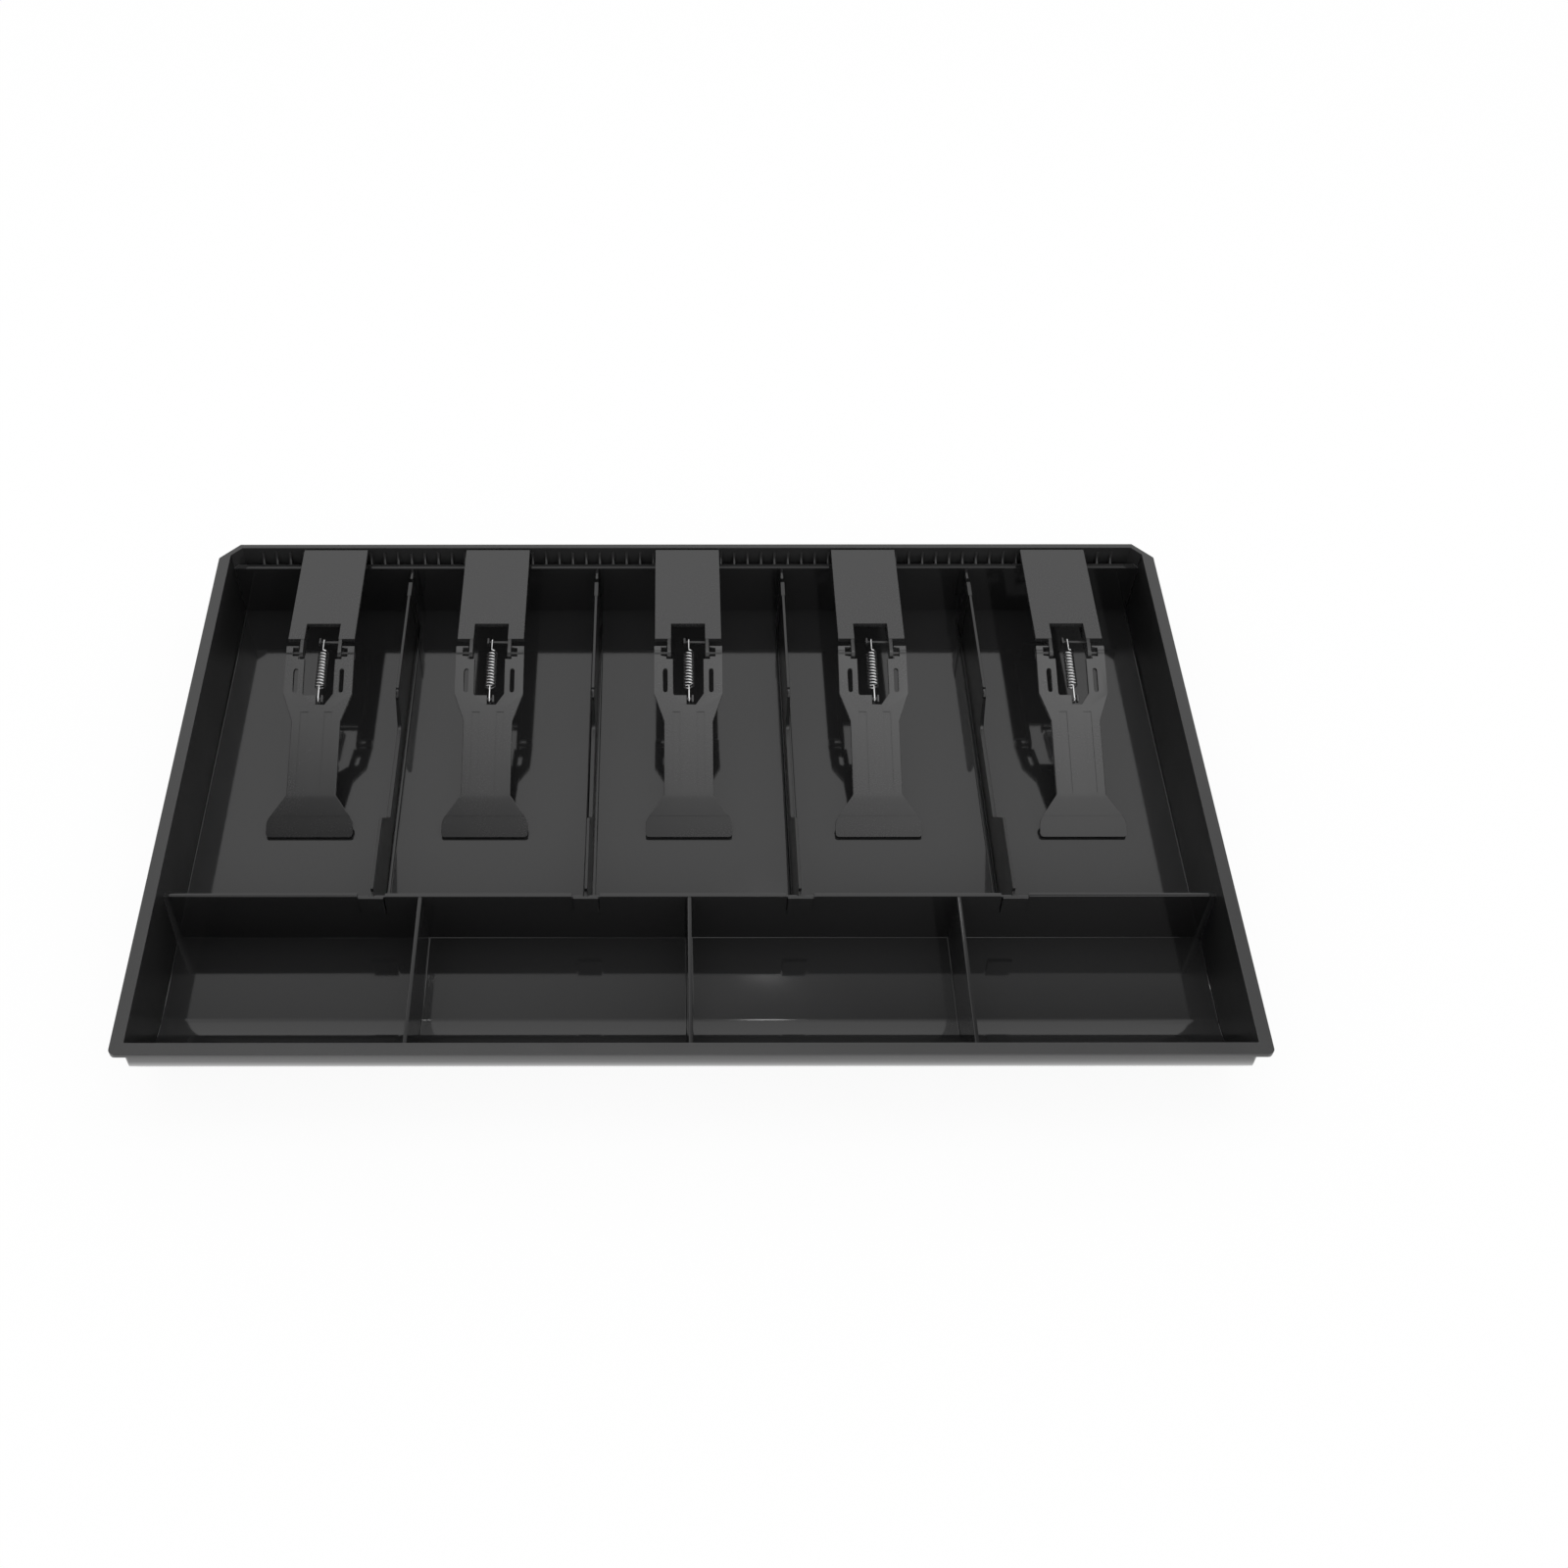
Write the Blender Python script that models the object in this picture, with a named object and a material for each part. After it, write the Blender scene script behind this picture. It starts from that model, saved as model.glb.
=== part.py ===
"""Cash drawer insert: a moulded tray with four lift-out bill dividers and five spring clips.

Metres, +Z up, the front (coin cups) towards -Y. The origin is under the middle of the tray,
on the surface that it stands on. Every clip is a bracket that grips the back rail, an arm
hinged on the bracket's stub pins, and an extension spring hooked between the two.
"""
import bpy
import bmesh
from math import asin, atan2, cos, degrees, hypot, pi, radians, sin
from mathutils import Matrix, Vector

MM = 0.001

# Fits: the gap between neighbours, how far cuts run over, and the step between joined faces
GAP = 0.3 * MM
OVERRUN = 0.5 * MM
STEP = 0.1 * MM
WELD = 0.001 * MM
SMOOTH_ANGLE = radians(30.0)

# Tray
TRAY_WIDTH = 400.0 * MM
TRAY_DEPTH = 245.0 * MM
TRAY_HEIGHT = 36.5 * MM
FLOOR_THICKNESS = 2.0 * MM
WALL_THICKNESS = 2.0 * MM
BACK_WALL_THICKNESS = 2.2 * MM
RIM_WIDTH = 4.8 * MM
RIM_THICKNESS = 2.0 * MM
FRONT_CORNER_RADIUS = 2.5 * MM
BODY_CORNER_RADIUS = 3.5 * MM
BACK_CORNER_CHAMFER = 8.2 * MM
WALL_DRAFT = 0.8 * MM
PARTITION_DROP = 7.6 * MM

# Coin scoop: the floor rises in a quarter round to the front wall
SCOOP_SHARE = 0.9
SCOOP_STEPS = 16

# Back rail and comb
COMB_SLOT = 2.5 * MM
RAIL_THICKNESS = 2.2 * MM
RAIL_FALL = 0.35 * MM
COMB_PITCH = 5.805 * MM
COMB_SHIFT = 0.45 * MM
COMB_RIB = 1.1 * MM
COMB_RIB_SHARES = ((0.12, 1.0), (0.28, 0.66), (0.52, 0.28))

# Middle wall and coin dividers
COIN_CUP_LENGTH = 65.45 * MM
MIDDLE_WALL_TOP = 1.7 * MM
COIN_DIVIDER_TOP = 1.4 * MM
COIN_DIVIDERS = 3
COIN_SPREAD_SHARE = 1.0226
DRAFT_PER_HEIGHT = 0.016

# Bill dividers
BILL_DIVIDERS = 4
BILL_SPREAD_SHARE = 1.0195
BILL_SHIFT = 1.4 * MM
DIVIDER_TOP = 1.1 * MM
DIVIDER_BACK_GAP = 8.5 * MM
DIP_BACK_SHARE = 0.6115
DIP_BACK_RUN = 4.4 * MM
DIP_FRONT_SHARE = 0.22
DIP_FRONT_RUN = 12.0 * MM
DIP_DEPTH = 15.9 * MM
DIP_FILLET = 2.5 * MM
PAD_LENGTH = 7.9 * MM
PAD_EXTRA = 0.3 * MM
HEAD_WIDTH = 9.4 * MM
HEAD_THICKNESS = 1.2 * MM
HEAD_HEIGHT = 10.0 * MM
HEAD_PROUD = 0.9 * MM
NOTCH_DEPTH = 1.2 * MM
NECK_RELIEF = 2.0 * MM
RELIEF_LENGTH = 1.2 * MM
GUIDE_RIB = 1.2 * MM
GUIDE_RIB_LENGTH = 6.0 * MM
RIDGE_WIDTH = 0.8 * MM
RIDGE_HEIGHT = 1.0 * MM

# Clips
CLIP_PLACE_SHARES = (-0.7732, -0.4163, 0.0, 0.3866, 0.8029)
PIVOT_OUT = 5.0 * MM
PIVOT_DROP = 4.2 * MM
STUB_RADIUS = 0.9 * MM

# Bracket
PLATE_WIDTH = 27.3 * MM
PLATE_DROP = 0.6 * MM
PLATE_THICKNESS = 2.0 * MM
PLATE_LENGTH = 51.2 * MM
PLATE_BACK_GAP = 0.6 * MM
WINDOW_WIDTH = 14.0 * MM
WINDOW_DEPTH = 8.4 * MM
SIDE_RAIL = 1.45 * MM
NOSE_RADIUS = 2.45 * MM
STUB_REACH = 4.5 * MM
TAB_WIDTH = 3.6 * MM
TAB_THICKNESS = 1.5 * MM
TAB_DEPTH = 8.0 * MM
CLAW_WIDTH = 10.0 * MM
CLAW_THICKNESS = 1.2 * MM
CLAW_DEPTH = 6.0 * MM
ANCHOR_SETBACK = 2.7 * MM
ANCHOR_DROP = 6.2 * MM
ANCHOR_SIZE = 1.2 * MM
ANCHOR_END = 1.9 * MM
NUB_LENGTH = 0.9 * MM
NUB_EXTRA = 0.8 * MM

# Arm, in its own frame: along from the pivot towards the paddle, up from the pivot
ARM_WIDTH = 27.8 * MM
ARM_TOP = 2.0 * MM
ARM_THICKNESS = 1.8 * MM
HEEL = 2.72 * MM
HEEL_BAR = 0.78 * MM
KNUCKLE_INNER = 8.9 * MM
KNUCKLE_OUTER_START = 11.2 * MM
KNUCKLE_CAP = 0.6 * MM
KNUCKLE_RADIUS = 2.3 * MM
KNUCKLE_SLOT_END = 1.77 * MM
FORK_STEP = 2.87 * MM
FORK_INNER = 6.2 * MM
SHOULDER = 18.1 * MM
NECK_START = 29.4 * MM
NECK_WIDTH = 19.7 * MM
NECK_END = 60.1 * MM
FLARE_END = 70.6 * MM
FLARE_ROUND = 1.5 * MM
PADDLE_WIDTH = 34.4 * MM
PADDLE_CORNER = 1.6 * MM
PADDLE_LENGTH = 17.0 * MM
PADDLE_FIRST_ANGLE = radians(2.5)
PADDLE_LAST_ANGLE = radians(8.3)
TOE_THICKNESS = 0.85 * MM
ARM_WINDOW_SIDE_END = 17.8 * MM
ARM_WINDOW_END = 22.4 * MM
ARM_WINDOW_END_HALF = 3.0 * MM
SIDE_SLOT_X = 9.35 * MM
SIDE_SLOT_WIDTH = 1.9 * MM
SIDE_SLOT_START = 7.0 * MM
SIDE_SLOT_END = 17.3 * MM
LUG_ALONG = 19.7 * MM
LUG_UP = 0.2 * MM
LUG_SIZE = 1.2 * MM
LUG_END = 2.2 * MM
LUG_ROOT = 0.7 * MM
LUG_BLOCK_START = 18.3 * MM
LUG_BLOCK_DROP = 0.4 * MM
LUG_BLOCK_HEIGHT = 2.6 * MM
NECK_RIB_X = 5.0 * MM
NECK_RIB_WIDTH = 1.4 * MM
NECK_RIB_HEIGHT = 1.6 * MM
NECK_RIB_INSET = 2.5 * MM
NECK_STRIP_NEAR = 3.3 * MM
NECK_STRIP_FAR = 6.5 * MM
NECK_STRIP_START = 25.5 * MM
NECK_STRIP_END = 59.2 * MM
NECK_STRIP_DEPTH = 0.3 * MM

# Spring
WIRE_RADIUS = 0.38 * MM
COIL_RADIUS = 1.87 * MM
COIL_TURNS = 13
COIL_POINTS = 8
HOOK_RADIUS = 1.56 * MM
HOOK_POINTS = 5
COIL_START = 3.6 * MM
COIL_END = 4.2 * MM
BEND_RADIUS = 0.6 * MM
SPRING_X = 0.3 * MM

# Places that follow from the sizes above
RIM_TOP = TRAY_HEIGHT
RIM_UNDER = RIM_TOP - RIM_THICKNESS
SCOOP_RADIUS = (RIM_UNDER - FLOOR_THICKNESS) * SCOOP_SHARE
PARTITION_TOP = RIM_TOP - PARTITION_DROP
INNER_X = TRAY_WIDTH / 2 - RIM_WIDTH
INNER_FRONT = -TRAY_DEPTH / 2 + RIM_WIDTH
INNER_BACK = TRAY_DEPTH / 2 - BACK_WALL_THICKNESS
RAIL_BACK = INNER_BACK - COMB_SLOT
RAIL_FRONT = RAIL_BACK - RAIL_THICKNESS
PARTITION_HEIGHT = PARTITION_TOP - FLOOR_THICKNESS
MIDDLE_WALL_Y = INNER_FRONT + COIN_CUP_LENGTH
DIVIDER_BACK_Y = RAIL_FRONT - DIVIDER_BACK_GAP
DIP_BACK_Y = MIDDLE_WALL_Y + (DIVIDER_BACK_Y - MIDDLE_WALL_Y) * DIP_BACK_SHARE
DIP_FRONT_Y = MIDDLE_WALL_Y + (DIVIDER_BACK_Y - MIDDLE_WALL_Y) * DIP_FRONT_SHARE
PLATE_BACK = INNER_BACK - PLATE_BACK_GAP
PLATE_FRONT = PLATE_BACK - PLATE_LENGTH
WINDOW_BACK = PLATE_FRONT + WINDOW_DEPTH
PIVOT_Y = PLATE_FRONT - PIVOT_OUT
ANCHOR_Y = PLATE_FRONT + ANCHOR_SETBACK
PIVOT_Z = RIM_TOP - PIVOT_DROP
PLATE_TOP = RIM_TOP - PLATE_DROP
PLATE_BOTTOM = PLATE_TOP - PLATE_THICKNESS
WALL_FRONT = MIDDLE_WALL_Y - MIDDLE_WALL_TOP / 2
WALL_BACK = MIDDLE_WALL_Y + MIDDLE_WALL_TOP / 2
HEAD_FRONT = WALL_FRONT - HEAD_PROUD
POCKET_BACK = HEAD_FRONT + HEAD_THICKNESS + GAP
ARM_BOTTOM = ARM_TOP - ARM_THICKNESS
ANCHOR_Z = RIM_TOP - ANCHOR_DROP


def paddle_line():
    """Upper line of the paddle in the arm's frame, as (along, up): it bends down ever more."""
    steps = 8
    points = [(NECK_END, ARM_TOP)]
    for k in range(steps):
        share = (k + 0.5) / steps
        turn = PADDLE_FIRST_ANGLE + (PADDLE_LAST_ANGLE - PADDLE_FIRST_ANGLE) * share
        along, up = points[-1]
        points.append((along + PADDLE_LENGTH / steps * cos(turn), up - PADDLE_LENGTH / steps * sin(turn)))
    return points


def rest_angle():
    """Angle at which the paddle's front edge lies a fitting gap above the floor."""
    drop = PIVOT_Z - FLOOR_THICKNESS - GAP
    along, up = paddle_line()[-1]
    up -= TOE_THICKNESS
    return asin(drop / hypot(along, up)) + atan2(up, along)


ARM_REST_ANGLE = rest_angle()
TOE_END = paddle_line()[-1][0]


def from_arm(along, up):
    """Place of a point of the arm at rest, as (y, z)."""
    c = cos(ARM_REST_ANGLE)
    s = sin(ARM_REST_ANGLE)
    return PIVOT_Y - along * c - up * s, PIVOT_Z - along * s + up * c


def empty_scene():
    for old in list(bpy.data.objects):
        bpy.data.objects.remove(old, do_unlink=True)


def collection(name):
    made = bpy.data.collections.new(name)
    bpy.context.scene.collection.children.link(made)
    return made


def material(name, colour, roughness, metallic=0.0):
    made = bpy.data.materials.new(name)
    made.use_nodes = True
    shader = made.node_tree.nodes["Principled BSDF"]
    shader.inputs["Base Color"].default_value = (*colour, 1.0)
    shader.inputs["Roughness"].default_value = roughness
    shader.inputs["Metallic"].default_value = metallic
    return made


def link(name, mesh, group):
    made = bpy.data.objects.new(name, mesh)
    group.objects.link(made)
    return made


def boxes(name, group, corners):
    """One object of separate boxes, each from its lowest and highest corner."""
    mesh = bpy.data.meshes.new(name)
    shape = bmesh.new()
    for low, high in corners:
        low = Vector(low)
        high = Vector(high)
        place = Matrix.Translation((low + high) / 2) @ Matrix.Diagonal((*(high - low), 1.0))
        bmesh.ops.create_cube(shape, size=1.0, matrix=place)
    shape.to_mesh(mesh)
    shape.free()
    return link(name, mesh, group)


def bars(name, group, outline, spans):
    """One object of bars along X with the same (y, z) outline, each from its low to its high x."""
    mesh = bpy.data.meshes.new(name)
    shape = bmesh.new()
    for span in spans:
        near, far = [[shape.verts.new((x, *place)) for place in outline] for x in span]
        shape.faces.new(near)
        shape.faces.new(far)
        for k in range(len(outline)):
            shape.faces.new((near[k - 1], near[k], far[k], far[k - 1]))
    bmesh.ops.recalc_face_normals(shape, faces=shape.faces)
    shape.to_mesh(mesh)
    shape.free()
    return link(name, mesh, group)


def prism(name, group, outline, low, high, axis):
    """A closed outline, filled and extruded from low to high along the named axis.

    Along X the outline is (y, z), and along Z it is (x, y).
    """
    curve = bpy.data.curves.new(name, "CURVE")
    curve.dimensions = "2D"
    curve.fill_mode = "BOTH"
    curve.extrude = (high - low) / 2
    spline = curve.splines.new("POLY")
    spline.points.add(len(outline) - 1)
    for point, place in zip(spline.points, outline):
        point.co = (place[0], place[1], 0.0, 1.0)
    spline.use_cyclic_u = True
    flat = link(name, curve, group)
    turn = Matrix(((0, 0, 1, 0), (1, 0, 0, 0), (0, 1, 0, 0), (0, 0, 0, 1)))
    shift = Vector(((high + low) / 2, 0.0, 0.0))
    if axis == "Z":
        turn = Matrix.Identity(4)
        shift = Vector((0.0, 0.0, (high + low) / 2))
    flat.matrix_world = Matrix.Translation(shift) @ turn
    return as_mesh(flat, group)


def as_mesh(thing, group):
    """The object's shape as a welded mesh object with the same name, its place in the mesh."""
    name = thing.name
    place = thing.matrix_world.copy()
    ready = thing.evaluated_get(bpy.context.evaluated_depsgraph_get())
    mesh = bpy.data.meshes.new_from_object(ready)
    bpy.data.objects.remove(thing, do_unlink=True)
    shape = bmesh.new()
    shape.from_mesh(mesh)
    bmesh.ops.transform(shape, matrix=place, verts=shape.verts)
    bmesh.ops.remove_doubles(shape, verts=shape.verts, dist=WELD)
    bmesh.ops.recalc_face_normals(shape, faces=shape.faces)
    shape.to_mesh(mesh)
    shape.free()
    mesh.materials.clear()
    return link(name, mesh, group)


def rod(name, group, centre, radius, low, high, sides=20):
    """A cylinder along X about centre, given as (y, z), from low to high."""
    mesh = bpy.data.meshes.new(name)
    shape = bmesh.new()
    place = Matrix.Translation(((low + high) / 2, *centre)) @ Matrix.Rotation(pi / 2, 4, "Y")
    bmesh.ops.create_cone(
        shape, cap_ends=True, segments=sides, radius1=radius, radius2=radius, depth=high - low, matrix=place
    )
    shape.to_mesh(mesh)
    shape.free()
    return link(name, mesh, group)


def combine(thing, other, operation):
    step = thing.modifiers.new(other.name, "BOOLEAN")
    step.operation = operation
    step.object = other
    step.solver = "EXACT"
    other.hide_render = True
    other.display_type = "WIRE"


def arc(centre, radius, start, end, steps):
    """Points on an arc about centre, angles in radians from the first axis."""
    turn = (end - start) / steps
    return [
        (centre[0] + radius * cos(start + turn * k), centre[1] + radius * sin(start + turn * k))
        for k in range(steps + 1)
    ]


def tray_plan(half_width, front, back, chamfer, radius):
    """The tray seen from above: round front corners and cut-off back corners."""
    right = []
    if radius > 0.0:
        right += arc((half_width - radius, front + radius), radius, -pi / 2, 0.0, 4)
    else:
        right.append((half_width, front))
    right += [(half_width, back - chamfer), (half_width - chamfer, back)]
    return right + [(-x, y) for x, y in reversed(right)]


def scoop_profile(offset, top, back):
    """The tray's floor line seen from the side, as (y, z), moved outwards by offset."""
    centre = (INNER_FRONT + SCOOP_RADIUS, FLOOR_THICKNESS + SCOOP_RADIUS)
    points = [(back, top), (back, FLOOR_THICKNESS - offset)]
    return points + arc(centre, SCOOP_RADIUS + offset, -pi / 2, -pi, SCOOP_STEPS)


def tapered(name, group, corners, middle, axis):
    """Boxes drafted about their middle lines: full thickness at the top, more at the floor."""
    thing = boxes(name, group, corners)
    for vertex in thing.data.vertices:
        nearest = min(middle, key=lambda m: abs(vertex.co[axis] - m))
        side = 1.0 if vertex.co[axis] > nearest else -1.0
        vertex.co[axis] += side * DRAFT_PER_HEIGHT * (PARTITION_TOP - vertex.co.z)
    return thing


def bill_places():
    pitch = BILL_SPREAD_SHARE * 2 * INNER_X / (BILL_DIVIDERS + 1)
    return [BILL_SHIFT + pitch * (k - (BILL_DIVIDERS - 1) / 2) for k in range(BILL_DIVIDERS)]


def coin_places():
    pitch = COIN_SPREAD_SHARE * 2 * INNER_X / (COIN_DIVIDERS + 1)
    return [pitch * (k - (COIN_DIVIDERS - 1) / 2) for k in range(COIN_DIVIDERS)]


def clip_places():
    """Middles of the clips, each on a whole number of the comb's pockets."""
    slots = [round(share * INNER_X / COMB_PITCH) for share in CLIP_PLACE_SHARES]
    return [COMB_SHIFT + slot * COMB_PITCH for slot in slots]


def inner_chamfer():
    """Size of the cut-off back corners inside the walls."""
    wall = (WALL_THICKNESS + BACK_WALL_THICKNESS) / 2
    return BACK_CORNER_CHAMFER - RIM_WIDTH - BACK_WALL_THICKNESS + wall * 2.0 ** 0.5


def tray_shell(cutters):
    """The outer form with its rim flange, hollowed out down to the floor and the scoops."""
    back = TRAY_DEPTH / 2
    front = -TRAY_DEPTH / 2
    wall_front = INNER_FRONT - WALL_THICKNESS
    plan = tray_plan(TRAY_WIDTH / 2, front, back, BACK_CORNER_CHAMFER, FRONT_CORNER_RADIUS)
    shell = prism("tray_pattern", cutters, plan, 0.0, RIM_TOP, "Z")
    wide = TRAY_WIDTH / 2 + OVERRUN
    outside = scoop_profile(WALL_THICKNESS, RIM_TOP + OVERRUN, back + OVERRUN)
    outside[1] = (outside[1][0], -OVERRUN)
    outside[2] = (outside[2][0], -OVERRUN)
    outside += [(wall_front, RIM_UNDER), (front - OVERRUN, RIM_UNDER)]
    outside.append((front - OVERRUN, RIM_TOP + OVERRUN))
    combine(shell, prism("tray_outside", cutters, outside, -wide, wide, "X"), "INTERSECT")
    side = INNER_X + WALL_THICKNESS
    under_rim = [
        ((-wide, front - OVERRUN, -OVERRUN), (-side, back + OVERRUN, RIM_UNDER)),
        ((side, front - OVERRUN, -OVERRUN), (wide, back + OVERRUN, RIM_UNDER)),
    ]
    combine(shell, boxes("tray_under_rim", cutters, under_rim), "DIFFERENCE")
    radius = BODY_CORNER_RADIUS
    corner = arc((side - radius, wall_front + radius), radius, 0.0, -pi / 2, 6)
    corner += [(side - radius, wall_front - OVERRUN), (side + OVERRUN, wall_front - OVERRUN)]
    corner.append((side + OVERRUN, wall_front + radius))
    for word, turn in (("left", -1), ("right", 1)):
        plan = [(turn * x, y) for x, y in corner]
        cut = prism(f"tray_{word}_corner", cutters, plan, -OVERRUN, RIM_UNDER, "Z")
        combine(shell, cut, "DIFFERENCE")
    plan = tray_plan(INNER_X, INNER_FRONT - OVERRUN, INNER_BACK, inner_chamfer(), 0.0)
    hollow = prism("tray_hollow", cutters, plan, FLOOR_THICKNESS - OVERRUN, RIM_TOP + OVERRUN, "Z")
    for vertex in hollow.data.vertices:
        if vertex.co.z < FLOOR_THICKNESS:
            vertex.co.x -= WALL_DRAFT if vertex.co.x > 0.0 else -WALL_DRAFT
    inside = scoop_profile(0.0, RIM_TOP + OVERRUN + OVERRUN, INNER_BACK + OVERRUN)
    inside.append((INNER_FRONT, RIM_TOP + OVERRUN + OVERRUN))
    combine(hollow, prism("tray_inside", cutters, inside, -wide, wide, "X"), "INTERSECT")
    combine(shell, hollow, "DIFFERENCE")
    return shell


def add_rail_and_comb(tray, cutters):
    """The rail that the clips grip, and the ribs of the comb between it and the back wall."""
    sink = FLOOR_THICKNESS - OVERRUN
    into = INNER_X + STEP
    outline = [
        (RAIL_FRONT, sink),
        (RAIL_BACK, sink),
        (RAIL_BACK, PARTITION_TOP),
        (RAIL_FRONT, PARTITION_TOP - RAIL_FALL),
    ]
    combine(tray, bars("back_rail", cutters, outline, [(-into, into)]), "UNION")
    low = PARTITION_TOP - STEP
    rise = PLATE_BOTTOM - GAP - low
    outline = [(RAIL_BACK - OVERRUN, low), (RAIL_BACK - OVERRUN, sink), (INNER_BACK + OVERRUN, sink)]
    outline.append((INNER_BACK + OVERRUN, low + rise))
    outline += [(INNER_BACK - COMB_SLOT * out, low + rise * up) for out, up in COMB_RIB_SHARES]
    outline.append((RAIL_BACK, low))
    pairs = int((INNER_X - inner_chamfer()) / COMB_PITCH)
    middles = [COMB_SHIFT + COMB_PITCH * (k + 0.5) for k in range(-pairs, pairs)]
    spans = [(x - COMB_RIB / 2, x + COMB_RIB / 2) for x in middles]
    combine(tray, bars("comb_ribs", cutters, outline, spans), "UNION")


def add_walls(tray, cutters):
    """The middle wall and the coin dividers in front of it, all drafted."""
    sink = FLOOR_THICKNESS - OVERRUN
    into = INNER_X + STEP
    wall_box = ((-into, WALL_FRONT, sink), (into, WALL_BACK, PARTITION_TOP))
    combine(tray, tapered("middle_wall", cutters, [wall_box], [MIDDLE_WALL_Y], 1), "UNION")
    half = COIN_DIVIDER_TOP / 2
    front = INNER_FRONT - OVERRUN
    coin = [((x - half, front, sink), (x + half, MIDDLE_WALL_Y, PARTITION_TOP - STEP)) for x in coin_places()]
    coin_walls = tapered("coin_dividers", cutters, coin, coin_places(), 0)
    inside = scoop_profile(WALL_THICKNESS / 2, RIM_TOP, INNER_BACK)
    inside.append((INNER_FRONT - WALL_THICKNESS / 2, RIM_TOP))
    combine(coin_walls, prism("coin_divider_trim", cutters, inside, -INNER_X, INNER_X, "X"), "INTERSECT")
    combine(tray, coin_walls, "UNION")


def add_divider_seats(tray, cutters):
    """Guides on the rail, ridges on the floor, and the slits that hold the bill dividers."""
    sink = FLOOR_THICKNESS - OVERRUN
    guides = []
    ridges = []
    pockets = []
    notches = []
    slits = []
    head = HEAD_WIDTH / 2 + GAP
    bottom = PARTITION_TOP - HEAD_HEIGHT - GAP
    slit = divider_half(bottom) + GAP
    ridge = divider_half(FLOOR_THICKNESS + GAP) + PAD_EXTRA + GAP
    high = PARTITION_TOP + OVERRUN
    fore = HEAD_FRONT - OVERRUN
    aft = WALL_BACK + WALL_THICKNESS
    for x in bill_places():
        guides.append((
            (x - GUIDE_RIB / 2, RAIL_FRONT - GUIDE_RIB_LENGTH, sink),
            (x + GUIDE_RIB / 2, RAIL_FRONT + OVERRUN, PARTITION_TOP - RAIL_FALL - STEP),
        ))
        for low, top in ((x - ridge - RIDGE_WIDTH, x - ridge), (x + ridge, x + ridge + RIDGE_WIDTH)):
            ridges.append((
                (low, MIDDLE_WALL_Y, sink),
                (top, RAIL_FRONT - GUIDE_RIB_LENGTH, FLOOR_THICKNESS + RIDGE_HEIGHT),
            ))
        pockets.append(((x - head, fore, bottom), (x + head, POCKET_BACK, high)))
        notches.append(((x - head - STEP, fore, PARTITION_TOP - NOTCH_DEPTH), (x + head + STEP, aft, high)))
        slits.append(((x - slit, fore, bottom - STEP), (x + slit, aft, high)))
    combine(tray, boxes("guide_ribs", cutters, guides), "UNION")
    combine(tray, boxes("floor_ridges", cutters, ridges), "UNION")
    combine(tray, boxes("head_pockets", cutters, pockets), "DIFFERENCE")
    combine(tray, boxes("head_notches", cutters, notches), "DIFFERENCE")
    combine(tray, boxes("neck_slits", cutters, slits), "DIFFERENCE")


def tray_pattern(cutters):
    tray = tray_shell(cutters)
    add_rail_and_comb(tray, cutters)
    add_walls(tray, cutters)
    add_divider_seats(tray, cutters)
    return as_mesh(tray, cutters)


def divider_half(z):
    """Half the thickness of a bill divider at height z."""
    return DIVIDER_TOP / 2 + DRAFT_PER_HEIGHT * (PARTITION_TOP - z)


def divider_outline():
    """A bill divider seen from the side, as (y, z), with its finger dip."""
    foot = FLOOR_THICKNESS + GAP
    low = PARTITION_TOP - DIP_DEPTH
    blocked = PARTITION_TOP - HEAD_HEIGHT - GAP
    behind_wall = WALL_BACK + DRAFT_PER_HEIGHT * PARTITION_HEIGHT + GAP
    into_head = HEAD_FRONT + HEAD_THICKNESS / 2
    relief = behind_wall + RELIEF_LENGTH
    return [
        (DIVIDER_BACK_Y, foot),
        (DIVIDER_BACK_Y, PARTITION_TOP),
        (DIP_BACK_Y, PARTITION_TOP),
        (DIP_BACK_Y - DIP_BACK_RUN, low + DIP_FILLET),
        (DIP_BACK_Y - DIP_BACK_RUN - DIP_FILLET / 3, low + DIP_FILLET / 3),
        (DIP_BACK_Y - DIP_BACK_RUN - DIP_FILLET, low),
        (DIP_FRONT_Y + DIP_FRONT_RUN, low),
        (DIP_FRONT_Y, PARTITION_TOP),
        (relief, PARTITION_TOP),
        (relief, PARTITION_TOP - NECK_RELIEF),
        (into_head, PARTITION_TOP - NECK_RELIEF),
        (into_head, blocked + GAP + STEP),
        (behind_wall, blocked + GAP + STEP),
        (behind_wall, foot),
    ]


def divider_pattern(cutters):
    """One lift-out plate: drafted blade, thicker back end and a flat head for the middle wall."""
    blade = prism("divider_pattern", cutters, divider_outline(), -DIVIDER_TOP, DIVIDER_TOP, "X")
    reach = DIVIDER_TOP + PAD_EXTRA
    pad = boxes("divider_pad", cutters, [(
        (-reach, DIVIDER_BACK_Y - PAD_LENGTH, FLOOR_THICKNESS + GAP + STEP),
        (reach, DIVIDER_BACK_Y + STEP, PARTITION_TOP + STEP),
    )])
    for thing, extra in ((blade, 0.0), (pad, PAD_EXTRA)):
        for vertex in thing.data.vertices:
            side = 1.0 if vertex.co.x > 0.0 else -1.0
            vertex.co.x = side * (divider_half(vertex.co.z) + extra)
    head = boxes("divider_head", cutters, [(
        (-HEAD_WIDTH / 2, HEAD_FRONT, PARTITION_TOP - HEAD_HEIGHT),
        (HEAD_WIDTH / 2, HEAD_FRONT + HEAD_THICKNESS, PARTITION_TOP),
    )])
    combine(blade, pad, "UNION")
    combine(blade, head, "UNION")
    return as_mesh(blade, cutters)


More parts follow.
